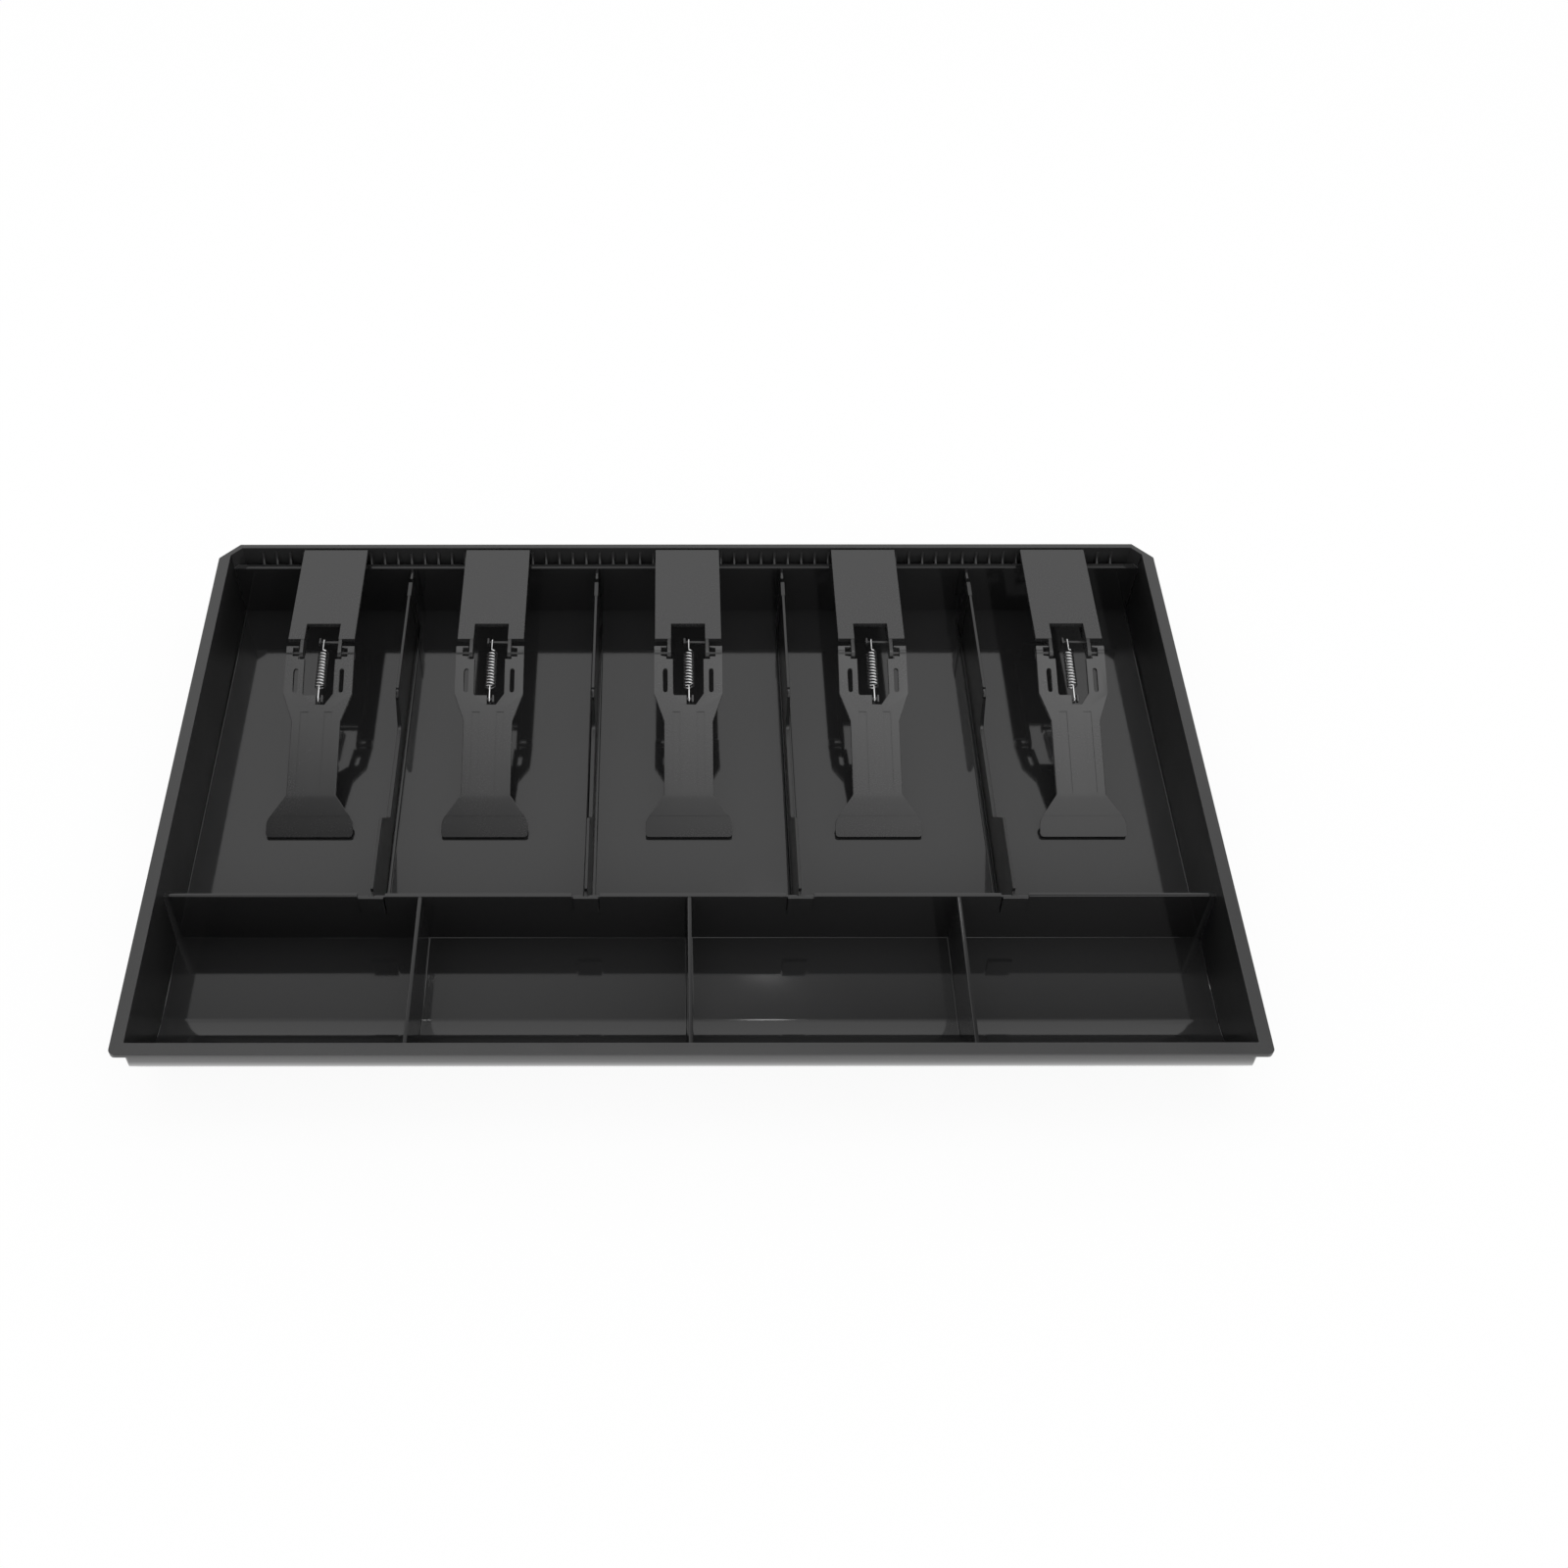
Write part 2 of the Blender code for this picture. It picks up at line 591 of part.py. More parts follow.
def rail_outline():
    """A bracket's side rail with the hinge ear at its front end, as (y, z)."""
    bottom = PARTITION_TOP + GAP
    top = PLATE_TOP - STEP
    inside = (PLATE_TOP + PLATE_BOTTOM) / 2
    ear_back = PLATE_FRONT + STEP
    rise = atan2(top - PIVOT_Z, ear_back - PIVOT_Y)
    lean = asin(NOSE_RADIUS / hypot(top - PIVOT_Z, ear_back - PIVOT_Y))
    points = [(ear_back, top)]
    points += arc((PIVOT_Y, PIVOT_Z), NOSE_RADIUS, rise - lean + pi / 2, pi * 1.5, 8)
    points += [
        (PIVOT_Y + NOSE_RADIUS, bottom),
        (RAIL_BACK - GAP, bottom),
        (RAIL_BACK - GAP, inside),
        (ear_back, inside),
    ]
    return points


def bracket_pattern(cutters):
    """Plate, side rails with ears and stub pins, comb tabs, claw and spring anchor, about x = 0."""
    half = PLATE_WIDTH / 2
    inside = (PLATE_TOP + PLATE_BOTTOM) / 2
    plate_box = ((-half, PLATE_FRONT, PLATE_BOTTOM), (half, PLATE_BACK, PLATE_TOP))
    bracket = boxes("bracket_pattern", cutters, [plate_box])
    window = boxes("bracket_window", cutters, [(
        (-WINDOW_WIDTH / 2, PLATE_FRONT - OVERRUN, PLATE_BOTTOM - OVERRUN),
        (WINDOW_WIDTH / 2, WINDOW_BACK, PLATE_TOP + OVERRUN),
    )])
    combine(bracket, window, "DIFFERENCE")
    inner = WINDOW_WIDTH / 2 + STEP
    middle = inner + SIDE_RAIL / 2
    tip = inner + SIDE_RAIL + STUB_REACH
    for side, word in ((-1.0, "left"), (1.0, "right")):
        ends = sorted((side * inner, side * (inner + SIDE_RAIL)))
        combine(bracket, prism(f"bracket_{word}_rail", cutters, rail_outline(), *ends, "X"), "UNION")
        ends = sorted((side * middle, side * tip))
        stub = rod(f"bracket_{word}_stub", cutters, (PIVOT_Y, PIVOT_Z), STUB_RADIUS, *ends, 16)
        combine(bracket, stub, "UNION")
    tabs = []
    for x in (-COMB_PITCH, COMB_PITCH):
        tabs.append((
            (x - TAB_WIDTH / 2, PLATE_BACK - TAB_THICKNESS, PARTITION_TOP - TAB_DEPTH),
            (x + TAB_WIDTH / 2, PLATE_BACK - STEP, inside),
        ))
    claw_back = RAIL_FRONT - GAP
    claw = [((-CLAW_WIDTH / 2, claw_back - CLAW_THICKNESS, PARTITION_TOP - CLAW_DEPTH),
             (CLAW_WIDTH / 2, claw_back, inside))]
    wide = ANCHOR_SIZE / 2
    tall = wide + NUB_EXTRA
    finger = [((-ANCHOR_END + NUB_LENGTH / 2, ANCHOR_Y - wide, ANCHOR_Z - wide),
               (middle, ANCHOR_Y + wide, ANCHOR_Z + wide))]
    nub = [((-ANCHOR_END, ANCHOR_Y - tall, ANCHOR_Z - wide - STEP),
            (-ANCHOR_END + NUB_LENGTH, ANCHOR_Y + tall, ANCHOR_Z + tall))]
    added = {"tabs": tabs, "claw": claw, "anchor": finger, "anchor_nub": nub}
    for word, corners in added.items():
        combine(bracket, boxes(f"bracket_{word}", cutters, corners), "UNION")
    return as_mesh(bracket, cutters)


def arm_profile():
    """The arm seen from the side, as (-along, up): flat, then a paddle that bends down and thins out."""
    line = paddle_line()
    top = [(HEEL, ARM_TOP)] + [(-along, up) for along, up in line]
    bottom = [(HEEL, ARM_BOTTOM)]
    for k, (along, up) in enumerate(line):
        thick = ARM_THICKNESS + (TOE_THICKNESS - ARM_THICKNESS) * k / (len(line) - 1)
        bottom.append((-along, up - thick))
    return top + bottom[::-1]


def arm_plan():
    """The arm seen from above, as (x, -along)."""
    corner = arc(
        (PADDLE_WIDTH / 2 - PADDLE_CORNER, -TOE_END + PADDLE_CORNER), PADDLE_CORNER, 0.0, -pi / 2, 4
    )
    tip = Vector((PADDLE_WIDTH / 2, -FLARE_END))
    before = tip + (Vector((NECK_WIDTH / 2, -NECK_END)) - tip).normalized() * FLARE_ROUND
    after = tip - Vector((0.0, FLARE_ROUND))
    right = [
        (ARM_WIDTH / 2, HEEL + OVERRUN),
        (ARM_WIDTH / 2, -SHOULDER),
        (NECK_WIDTH / 2, -NECK_START),
        (NECK_WIDTH / 2, -NECK_END),
        tuple(before),
        tuple((before + tip * 2.0 + after) / 4.0),
        tuple(after),
    ] + corner
    return right + [(-x, y) for x, y in reversed(right)]


def fork_plan():
    """The opening between the fork's legs, as (x, -along)."""
    right = [
        (KNUCKLE_INNER, HEEL + OVERRUN + OVERRUN),
        (KNUCKLE_INNER, -FORK_STEP),
        (FORK_INNER, -FORK_STEP),
        (FORK_INNER, -ARM_WINDOW_SIDE_END),
        (ARM_WINDOW_END_HALF, -ARM_WINDOW_END),
    ]
    return right + [(-x, y) for x, y in reversed(right)]


def slot_plan(x):
    """A long slot with round ends beside the window, as (x, -along)."""
    radius = SIDE_SLOT_WIDTH / 2
    near = arc((x, -SIDE_SLOT_START - radius), radius, 0.0, pi, 6)
    far = arc((x, -SIDE_SLOT_END + radius), radius, pi, 2 * pi, 6)
    return near + far


def add_knuckle(arm, side, word, cutters):
    """One leg's end: the gate that shows the stub pin, the round knuckle and its blind bore."""
    low = -KNUCKLE_RADIUS - OVERRUN
    high = KNUCKLE_RADIUS + OVERRUN
    ends = sorted((side * (KNUCKLE_INNER - OVERRUN), side * KNUCKLE_OUTER_START))
    gate = [((ends[0], -KNUCKLE_SLOT_END, low), (ends[1], HEEL - HEEL_BAR, high))]
    combine(arm, boxes(f"arm_{word}_gate", cutters, gate), "DIFFERENCE")
    ends = sorted((side * (KNUCKLE_OUTER_START + STEP), side * (ARM_WIDTH / 2 - STEP)))
    barrel = rod(f"arm_{word}_knuckle", cutters, (0.0, 0.0), KNUCKLE_RADIUS, *ends, 24)
    combine(arm, barrel, "UNION")
    ends = sorted((side * (KNUCKLE_OUTER_START - OVERRUN), side * (ARM_WIDTH / 2 - KNUCKLE_CAP)))
    bore = rod(f"arm_{word}_bore", cutters, (0.0, 0.0), STUB_RADIUS + GAP, *ends, 16)
    combine(arm, bore, "DIFFERENCE")


def arm_pattern(cutters):
    """The forked arm, modelled flat about its pivot."""
    low = -KNUCKLE_RADIUS - OVERRUN
    high = KNUCKLE_RADIUS + OVERRUN
    reach = PADDLE_WIDTH / 2 + OVERRUN
    arm = prism("arm_pattern", cutters, arm_profile(), -reach, reach, "X")
    combine(arm, prism("arm_plan", cutters, arm_plan(), low, high, "Z"), "INTERSECT")
    combine(arm, prism("arm_fork", cutters, fork_plan(), low, high, "Z"), "DIFFERENCE")
    for side, word in ((-1.0, "left"), (1.0, "right")):
        slot = prism(f"arm_{word}_slot", cutters, slot_plan(side * SIDE_SLOT_X), low, high, "Z")
        combine(arm, slot, "DIFFERENCE")
        add_knuckle(arm, side, word, cutters)
    strips = []
    for x in (-(NECK_STRIP_NEAR + NECK_STRIP_FAR) / 2, (NECK_STRIP_NEAR + NECK_STRIP_FAR) / 2):
        half = (NECK_STRIP_FAR - NECK_STRIP_NEAR) / 2
        strips.append((
            (x - half, -NECK_STRIP_END, ARM_TOP - NECK_STRIP_DEPTH),
            (x + half, -NECK_STRIP_START, ARM_TOP + OVERRUN),
        ))
    combine(arm, boxes("arm_neck_strips", cutters, strips), "DIFFERENCE")
    block_top = ARM_TOP - LUG_BLOCK_DROP
    block = [((-FORK_INNER - OVERRUN, -ARM_WINDOW_END - OVERRUN, block_top - LUG_BLOCK_HEIGHT),
              (-LUG_ROOT, -LUG_BLOCK_START, block_top))]
    wide = LUG_SIZE / 2
    tall = wide + NUB_EXTRA
    finger = [((-LUG_ROOT - OVERRUN, -LUG_ALONG - wide, LUG_UP - wide),
               (LUG_END - NUB_LENGTH / 2, -LUG_ALONG + wide, LUG_UP + wide))]
    nub = [((LUG_END - NUB_LENGTH, -LUG_ALONG - tall, LUG_UP - wide - STEP),
            (LUG_END, -LUG_ALONG + tall, block_top))]
    rib_ends = (-NECK_END + NECK_RIB_INSET, -ARM_WINDOW_END - NECK_RIB_INSET)
    ribs = []
    for x in (-NECK_RIB_X, NECK_RIB_X):
        ribs.append((
            (x - NECK_RIB_WIDTH / 2, rib_ends[0], ARM_BOTTOM - NECK_RIB_HEIGHT),
            (x + NECK_RIB_WIDTH / 2, rib_ends[1], ARM_BOTTOM + OVERRUN),
        ))
    added = {"lug_block": block, "lug": finger, "lug_nub": nub, "neck_ribs": ribs}
    for word, corners in added.items():
        combine(arm, boxes(f"arm_{word}", cutters, corners), "UNION")
    return as_mesh(arm, cutters)


def spring_points():
    """The wire's centre line about the anchor, as (x, y, z): hook, coil and hook in one run."""
    lug_y, lug_z = from_arm(LUG_ALONG, LUG_UP)
    along = Vector((0.0, lug_y - ANCHOR_Y, lug_z - ANCHOR_Z))
    length = along.length
    along.normalize()
    across = Vector((1.0, 0.0, 0.0))
    up = Vector((0.0, along.z, -along.y))
    hook = [(0.0, s, u) for s, u in arc((0.0, 0.0), HOOK_RADIUS, -pi / 2, -3 * pi / 2, HOOK_POINTS)]
    hook = [(0.0, HOOK_RADIUS / 3, -HOOK_RADIUS)] + hook
    hook.append((0.0, COIL_START - BEND_RADIUS, COIL_RADIUS))
    points = list(hook)
    coil = length - COIL_START - COIL_END
    steps = COIL_TURNS * COIL_POINTS
    for k in range(steps + 1):
        turn = 2 * pi * k / COIL_POINTS
        points.append((COIL_RADIUS * sin(turn), COIL_START + coil * k / steps, COIL_RADIUS * cos(turn)))
    points += [(a, length - s, u) for a, s, u in reversed(hook)]
    return [across * a + along * s + up * u for a, s, u in points]


def least_gap(points):
    """Least clear space between parts of the wire that lie more than a bend apart along it."""
    reach = [0.0]
    for a, b in zip(points, points[1:]):
        reach.append(reach[-1] + (b - a).length)
    apart = 2.0 * COIL_RADIUS
    least = min(
        (points[i] - points[j]).length
        for i in range(len(points))
        for j in range(i + 1, len(points))
        if reach[j] - reach[i] > apart
    )
    return least - 2 * WIRE_RADIUS


def spring_pattern(cutters, points):
    """The wire as one tube, its origin on the bracket's anchor."""
    curve = bpy.data.curves.new("spring_pattern", "CURVE")
    curve.dimensions = "3D"
    curve.bevel_depth = WIRE_RADIUS
    curve.bevel_resolution = 1
    curve.use_fill_caps = True
    spline = curve.splines.new("POLY")
    spline.points.add(len(points) - 1)
    for point, place in zip(spline.points, points):
        point.co = (*place, 1.0)
    return as_mesh(link("spring_pattern", curve, cutters), cutters)


def place_copy(name, pattern, location, turn, finish, group):
    """A copy of a pattern as a node of its own, with its own mesh and material."""
    node = link(name, pattern.data.copy(), group)
    node.location = location
    node.rotation_euler.x = turn
    node.data.shade_smooth()
    node.data.set_sharp_from_angle(angle=SMOOTH_ANGLE)
    own = finish.copy()
    own.name = f"{name}_{finish.name}"
    node.data.materials.append(own)


def main():
    empty_scene()
    group = collection("cash_drawer_insert")
    cutters = collection("cutters")
    gloss = material("gloss_black", (0.012, 0.012, 0.013), 0.12)
    satin = material("satin_black", (0.02, 0.02, 0.021), 0.35)
    steel = material("bright_steel", (0.62, 0.62, 0.64), 0.2, 1.0)
    tray = tray_pattern(cutters)
    divider = divider_pattern(cutters)
    bracket = bracket_pattern(cutters)
    arm = arm_pattern(cutters)
    wire = spring_points()
    spring = spring_pattern(cutters, wire)
    place_copy("tray", tray, (0.0, 0.0, 0.0), 0.0, gloss, group)
    for k, x in enumerate(bill_places(), start=1):
        place_copy(f"bill_divider_{k}", divider, (x, 0.0, 0.0), 0.0, gloss, group)
    for k, x in enumerate(clip_places(), start=1):
        place_copy(f"clip_{k}_bracket", bracket, (x, 0.0, 0.0), 0.0, satin, group)
        place_copy(f"clip_{k}_arm", arm, (x, PIVOT_Y, PIVOT_Z), ARM_REST_ANGLE, satin, group)
        place_copy(f"clip_{k}_spring", spring, (x + SPRING_X, ANCHOR_Y, ANCHOR_Z), 0.0, steel, group)
    for pattern in (tray, divider, bracket, arm, spring):
        bpy.data.objects.remove(pattern, do_unlink=True)
    print(f"spring: least gap to itself {least_gap(wire) / MM:.3f} mm")
    print(f"arm rest angle {degrees(ARM_REST_ANGLE):.3f} deg")
    print(f"pivot y {PIVOT_Y:.5f} z {PIVOT_Z:.5f}, anchor y {ANCHOR_Y:.5f} z {ANCHOR_Z:.5f}")


main()
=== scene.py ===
"""Cash drawer insert, dressed for its picture.

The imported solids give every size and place. Each moulding is copied from its solid, its edges
are rounded as a mould leaves them, and it gets its finish. The springs are wound anew from
round wire. Lengths are metres, +Z is up, and the coin cups face -Y.
"""
import logging
from dataclasses import dataclass
from enum import Enum
from math import cos, pi, radians, sin
from typing import Callable, Iterable

import bmesh
import bpy
from mathutils import Matrix, Vector

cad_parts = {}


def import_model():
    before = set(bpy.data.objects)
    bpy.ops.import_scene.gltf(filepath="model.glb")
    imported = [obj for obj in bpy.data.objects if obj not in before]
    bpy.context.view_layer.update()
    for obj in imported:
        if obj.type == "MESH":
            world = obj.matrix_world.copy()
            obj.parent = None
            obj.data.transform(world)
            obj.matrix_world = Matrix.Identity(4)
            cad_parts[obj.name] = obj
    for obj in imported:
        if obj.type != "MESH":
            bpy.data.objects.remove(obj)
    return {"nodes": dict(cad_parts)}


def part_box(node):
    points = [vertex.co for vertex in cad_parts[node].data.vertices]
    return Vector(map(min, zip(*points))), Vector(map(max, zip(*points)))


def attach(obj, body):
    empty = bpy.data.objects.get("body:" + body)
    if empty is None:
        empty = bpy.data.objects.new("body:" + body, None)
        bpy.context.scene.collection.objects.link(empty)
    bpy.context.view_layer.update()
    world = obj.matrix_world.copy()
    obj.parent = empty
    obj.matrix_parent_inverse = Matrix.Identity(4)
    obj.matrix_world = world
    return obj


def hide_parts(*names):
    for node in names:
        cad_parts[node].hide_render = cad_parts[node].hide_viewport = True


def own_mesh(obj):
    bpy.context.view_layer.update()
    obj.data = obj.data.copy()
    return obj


MM = 0.001
MERGE = 0.00002
FLAT_TURN = radians(0.3)
SMOOTH_TURN = radians(40.0)
SQUARE_TURN = radians(45.0)
FACE_AREA_WEIGHT = 100
GRAIN_DETAIL = 3.0
FLOW_DETAIL = 2.0
GRAIN_SPREAD = (0.1, 0.45)
WHITE = (1.0, 1.0, 1.0, 1.0)
X_AXIS = Vector((1.0, 0.0, 0.0))

log = logging.getLogger("cash_drawer_insert")


class Slot(Enum):
    """The record's material slots."""

    TRAY = "tray_plastic"
    DIVIDER = "divider_plastic"
    CLIP = "clip_plastic"
    SPRING = "spring_wire"


class Nodes:
    """A node tree with short calls for adding and joining nodes."""

    def __init__(self, tree: bpy.types.NodeTree) -> None:
        """Keep the tree and empty it.

        Args:
            tree: The tree of a material, a world or a node group.
        """
        self.tree = tree
        tree.nodes.clear()

    def add(
        self, kind: str, values: dict[str, object] | None = None, **settings: object,
    ) -> bpy.types.Node:
        """Add one node.

        Args:
            kind: The node's type name.
            values: Constants for its inputs, by name.
            settings: Its properties.

        Returns:
            The new node.
        """
        node = self.tree.nodes.new(kind)
        for name, value in settings.items():
            setattr(node, name, value)
        for name, value in (values or {}).items():
            node.inputs[name].default_value = value
        return node

    def join(self, start: bpy.types.NodeSocket, end: bpy.types.NodeSocket) -> None:
        """Link an output to an input."""
        self.tree.links.new(start, end)

    def math(self, operation: str, first: object, second: object = 0.0) -> bpy.types.NodeSocket:
        """Add a Math node.

        Args:
            operation: The name of the sum.
            first: A socket or a number.
            second: A socket or a number.

        Returns:
            The result's socket.
        """
        node = self.add("ShaderNodeMath", operation=operation)
        for socket, value in zip(node.inputs, (first, second)):
            if isinstance(value, bpy.types.NodeSocket):
                self.join(value, socket)
            else:
                socket.default_value = value
        return node.outputs[0]

    def ramp(
        self, value: bpy.types.NodeSocket, start: tuple[float, float],
        end: tuple[float, float] = (0.0, 1.0), **settings: object,
    ) -> bpy.types.NodeSocket:
        """Add a Map Range node.

        Args:
            value: The socket that it maps.
            start: The range of the value.
            end: What the range becomes.
            settings: The node's properties.

        Returns:
            The result's socket.
        """
        values = {"From Min": start[0], "From Max": start[1], "To Min": end[0], "To Max": end[1]}
        node = self.add("ShaderNodeMapRange", values, **settings)
        self.join(value, node.inputs["Value"])
        return node.outputs["Result"]

    def mix(
        self, share: bpy.types.NodeSocket, first: bpy.types.Node, second: bpy.types.Node,
        surface: bpy.types.Node,
    ) -> None:
        """Mix two shaders into the output.

        Args:
            share: How much of the second shader shows.
            first: The shader at a share of 0.
            second: The shader at a share of 1.
            surface: The output node.
        """
        node = self.add("ShaderNodeMixShader")
        for start, end in zip((share, first.outputs[0], second.outputs[0]), node.inputs):
            self.join(start, end)
        self.join(node.outputs[0], surface.inputs["Surface"])


def mould_grain() -> bpy.types.NodeTree:
    """Build the group for the fine unevenness of moulded plastic.

    Returns:
        A group with the inputs Vector, Grain Scale, Flow Scale, Low Roughness and High
        Roughness, and the outputs Height and Roughness.
    """
    group = bpy.data.node_groups.new("mould_grain", "ShaderNodeTree")
    face = group.interface
    face.new_socket("Vector", in_out="INPUT", socket_type="NodeSocketVector")
    for name in ("Grain Scale", "Flow Scale", "Low Roughness", "High Roughness"):
        face.new_socket(name, in_out="INPUT", socket_type="NodeSocketFloat")
    for name in ("Height", "Roughness"):
        face.new_socket(name, in_out="OUTPUT", socket_type="NodeSocketFloat")
    nodes = Nodes(group)
    given = nodes.add("NodeGroupInput")
    result = nodes.add("NodeGroupOutput")
    grain = nodes.add("ShaderNodeTexNoise", {"Detail": GRAIN_DETAIL})
    flow = nodes.add("ShaderNodeTexNoise", {"Detail": FLOW_DETAIL})
    for noise, scale in ((grain, "Grain Scale"), (flow, "Flow Scale")):
        nodes.join(given.outputs["Vector"], noise.inputs["Vector"])
        nodes.join(given.outputs[scale], noise.inputs["Scale"])
    blend = nodes.math("MULTIPLY", grain.outputs["Fac"], flow.outputs["Fac"])
    low, high = GRAIN_SPREAD
    spread = nodes.add("ShaderNodeMapRange", {"From Min": low, "From Max": high})
    nodes.join(blend, spread.inputs["Value"])
    nodes.join(given.outputs["Low Roughness"], spread.inputs["To Min"])
    nodes.join(given.outputs["High Roughness"], spread.inputs["To Max"])
    nodes.join(grain.outputs["Fac"], result.inputs["Height"])
    nodes.join(spread.outputs["Result"], result.inputs["Roughness"])
    return group


class GrainedMaterial:
    """A material whose roughness follows the shared grain."""

    def __init__(
        self, name: str, grain: bpy.types.NodeTree, colour: tuple[float, float, float],
        scales: tuple[float, float], roughness: tuple[float, float],
    ) -> None:
        """Build the material, its shader and its grain.

        Args:
            name: The material's name.
            grain: The shared group of mould grain.
            colour: The base colour.
            scales: The scales of the grain and of the slower flow marks.
            roughness: The least and the greatest roughness.
        """
        self.made = bpy.data.materials.new(name)
        self.made.use_nodes = True
        self.nodes = Nodes(self.made.node_tree)
        surface = self.nodes.add("ShaderNodeOutputMaterial")
        self.shader = self.nodes.add("ShaderNodeBsdfPrincipled", {"Base Color": (*colour, 1.0)})
        place = self.nodes.add("ShaderNodeTexCoord")
        settings = {
            "Grain Scale": scales[0], "Flow Scale": scales[1],
            "Low Roughness": roughness[0], "High Roughness": roughness[1],
        }
        self.texture = self.nodes.add("ShaderNodeGroup", settings, node_tree=grain)
        self.nodes.join(place.outputs["Object"], self.texture.inputs["Vector"])
        self.nodes.join(self.texture.outputs["Roughness"], self.shader.inputs["Roughness"])
        self.nodes.join(self.shader.outputs["BSDF"], surface.inputs["Surface"])


@dataclass(frozen=True)
class PlasticFinish:
    """A black moulded plastic."""

    name: str
    colour: tuple[float, float, float]
    roughness: tuple[float, float]
    grain_scale: float
    grain_depth: float
    flow_scale: float = 45.0
    ior: float = 1.58

    def build(self, grain: bpy.types.NodeTree) -> bpy.types.Material:
        """Build the finish as a material.

        Args:
            grain: The shared group of mould grain.

        Returns:
            The material.
        """
        scales = (self.grain_scale, self.flow_scale)
        plastic = GrainedMaterial(self.name, grain, self.colour, scales, self.roughness)
        plastic.shader.inputs["IOR"].default_value = self.ior
        bump = plastic.nodes.add("ShaderNodeBump", {"Strength": 1.0, "Distance": self.grain_depth})
        plastic.nodes.join(plastic.texture.outputs["Height"], bump.inputs["Height"])
        plastic.nodes.join(bump.outputs["Normal"], plastic.shader.inputs["Normal"])
        return plastic.made


@dataclass(frozen=True)
class WireFinish:
    """Bright drawn steel wire."""

    name: str = "bright_steel_wire"
    colour: tuple[float, float, float] = (0.72, 0.72, 0.725)
    roughness: tuple[float, float] = (0.1, 0.24)
    scales: tuple[float, float] = (2600.0, 500.0)

    def build(self, grain: bpy.types.NodeTree) -> bpy.types.Material:
        """Build the finish as a material.

        Args:
            grain: The shared group of mould grain, here the marks of the drawing die.

        Returns:
            The material.
        """
        steel = GrainedMaterial(self.name, grain, self.colour, self.scales, self.roughness)
        steel.shader.inputs["Metallic"].default_value = 1.0
        return steel.made


class Strip:
    """The band along one edge of a flat face that the edge's rounding would take."""

    def __init__(self, loop: bmesh.types.BMLoop) -> None:
        """Measure the band's start and directions.

        Args:
            loop: The edge's corner in the face.
        """
        self.start = loop.vert.co
        line = loop.link_loop_next.vert.co - self.start
        self.length = line.length
        self.along = line.normalized()
        self.inward = loop.face.normal.cross(self.along)

    def covers(self, point: Vector, depth: float) -> bool:
        """Tell whether a point of the face lies in the band.

        Args:
            point: The point.
            depth: How far the band reaches into the face.

        Returns:
            True when the point is beside the edge and nearer than the depth.
        """
        away = point - self.start
        return 0.0 <= away.dot(self.along) <= self.length and -MERGE < away.dot(self.inward) < depth


@dataclass(frozen=True)
class Rounding:
    """How far a mould rounds a piece's edges, and which edges it reaches."""

    width: float
    segments: int = 2
    least_angle: float = radians(28.0)
    least_length: float = 1.0 * MM
    least_face: float = 0.7 * MM
    room_share: float = 1.05

    def takes(self, edge: bmesh.types.BMEdge) -> bool:
        """Tell whether an edge is rounded.

        Args:
            edge: An edge of the mesh in edit mode.

        Returns:
            True for a long enough edge between two faces that leave room.
        """
        if len(edge.link_faces) != 2 or edge.calc_length() < self.least_length:
            return False
        if edge.calc_face_angle() < self.least_angle:
            return False
        return all(
            face.calc_area() / max(side.calc_length() for side in face.edges) > self.least_face
            for face in edge.link_faces
        )

    def has_room(self, loop: bmesh.types.BMLoop, chosen: set[bmesh.types.BMEdge]) -> bool:
        """Tell whether an edge's rounding stays clear of a face's other edges.

        Args:
            loop: The edge's corner in the face.
            chosen: The edges that are rounded already.

        Returns:
            True when neither rounding runs into the other.
        """
        own = Strip(loop)
        for other in loop.face.loops:
            need = self.width * (self.room_share * 2 if other.edge in chosen else self.room_share)
            if other is loop:
                continue
            if set(other.edge.verts) & set(loop.edge.verts):
                turn = own.along.angle(Strip(other).along, 0.0)
                if turn > self.least_angle and other.edge.calc_length() < need:
                    return False
                continue
            across = Strip(other)
            if any(own.covers(corner.co, need) for corner in other.edge.verts):
                return False
            if any(across.covers(corner.co, need) for corner in loop.edge.verts):
                return False
        return True

    def choose(self, shape: bmesh.types.BMesh) -> set[bmesh.types.BMEdge]:
        """Choose the edges, longest first, whose roundings leave each other room.

        Args:
            shape: The mesh in edit mode.

        Returns:
            The edges to round.
        """
        chosen: set[bmesh.types.BMEdge] = set()
        for edge in sorted(filter(self.takes, shape.edges), key=lambda e: -e.calc_length()):
            if all(self.has_room(loop, chosen) for loop in edge.link_loops):
                chosen.add(edge)
        return chosen


def focus(thing: bpy.types.Object) -> None:
    """Select one object alone and make it the active one."""
    bpy.ops.object.select_all(action="DESELECT")
    thing.select_set(True)
    bpy.context.view_layer.objects.active = thing


def in_edit_mode(thing: bpy.types.Object, work: Callable[[], None]) -> None:
    """Run work on an object in edit mode.

    Args:
        thing: The object.
        work: What is done there.
    """
    focus(thing)
    bpy.ops.object.mode_set(mode="EDIT")
    work()
    bpy.ops.object.mode_set(mode="OBJECT")


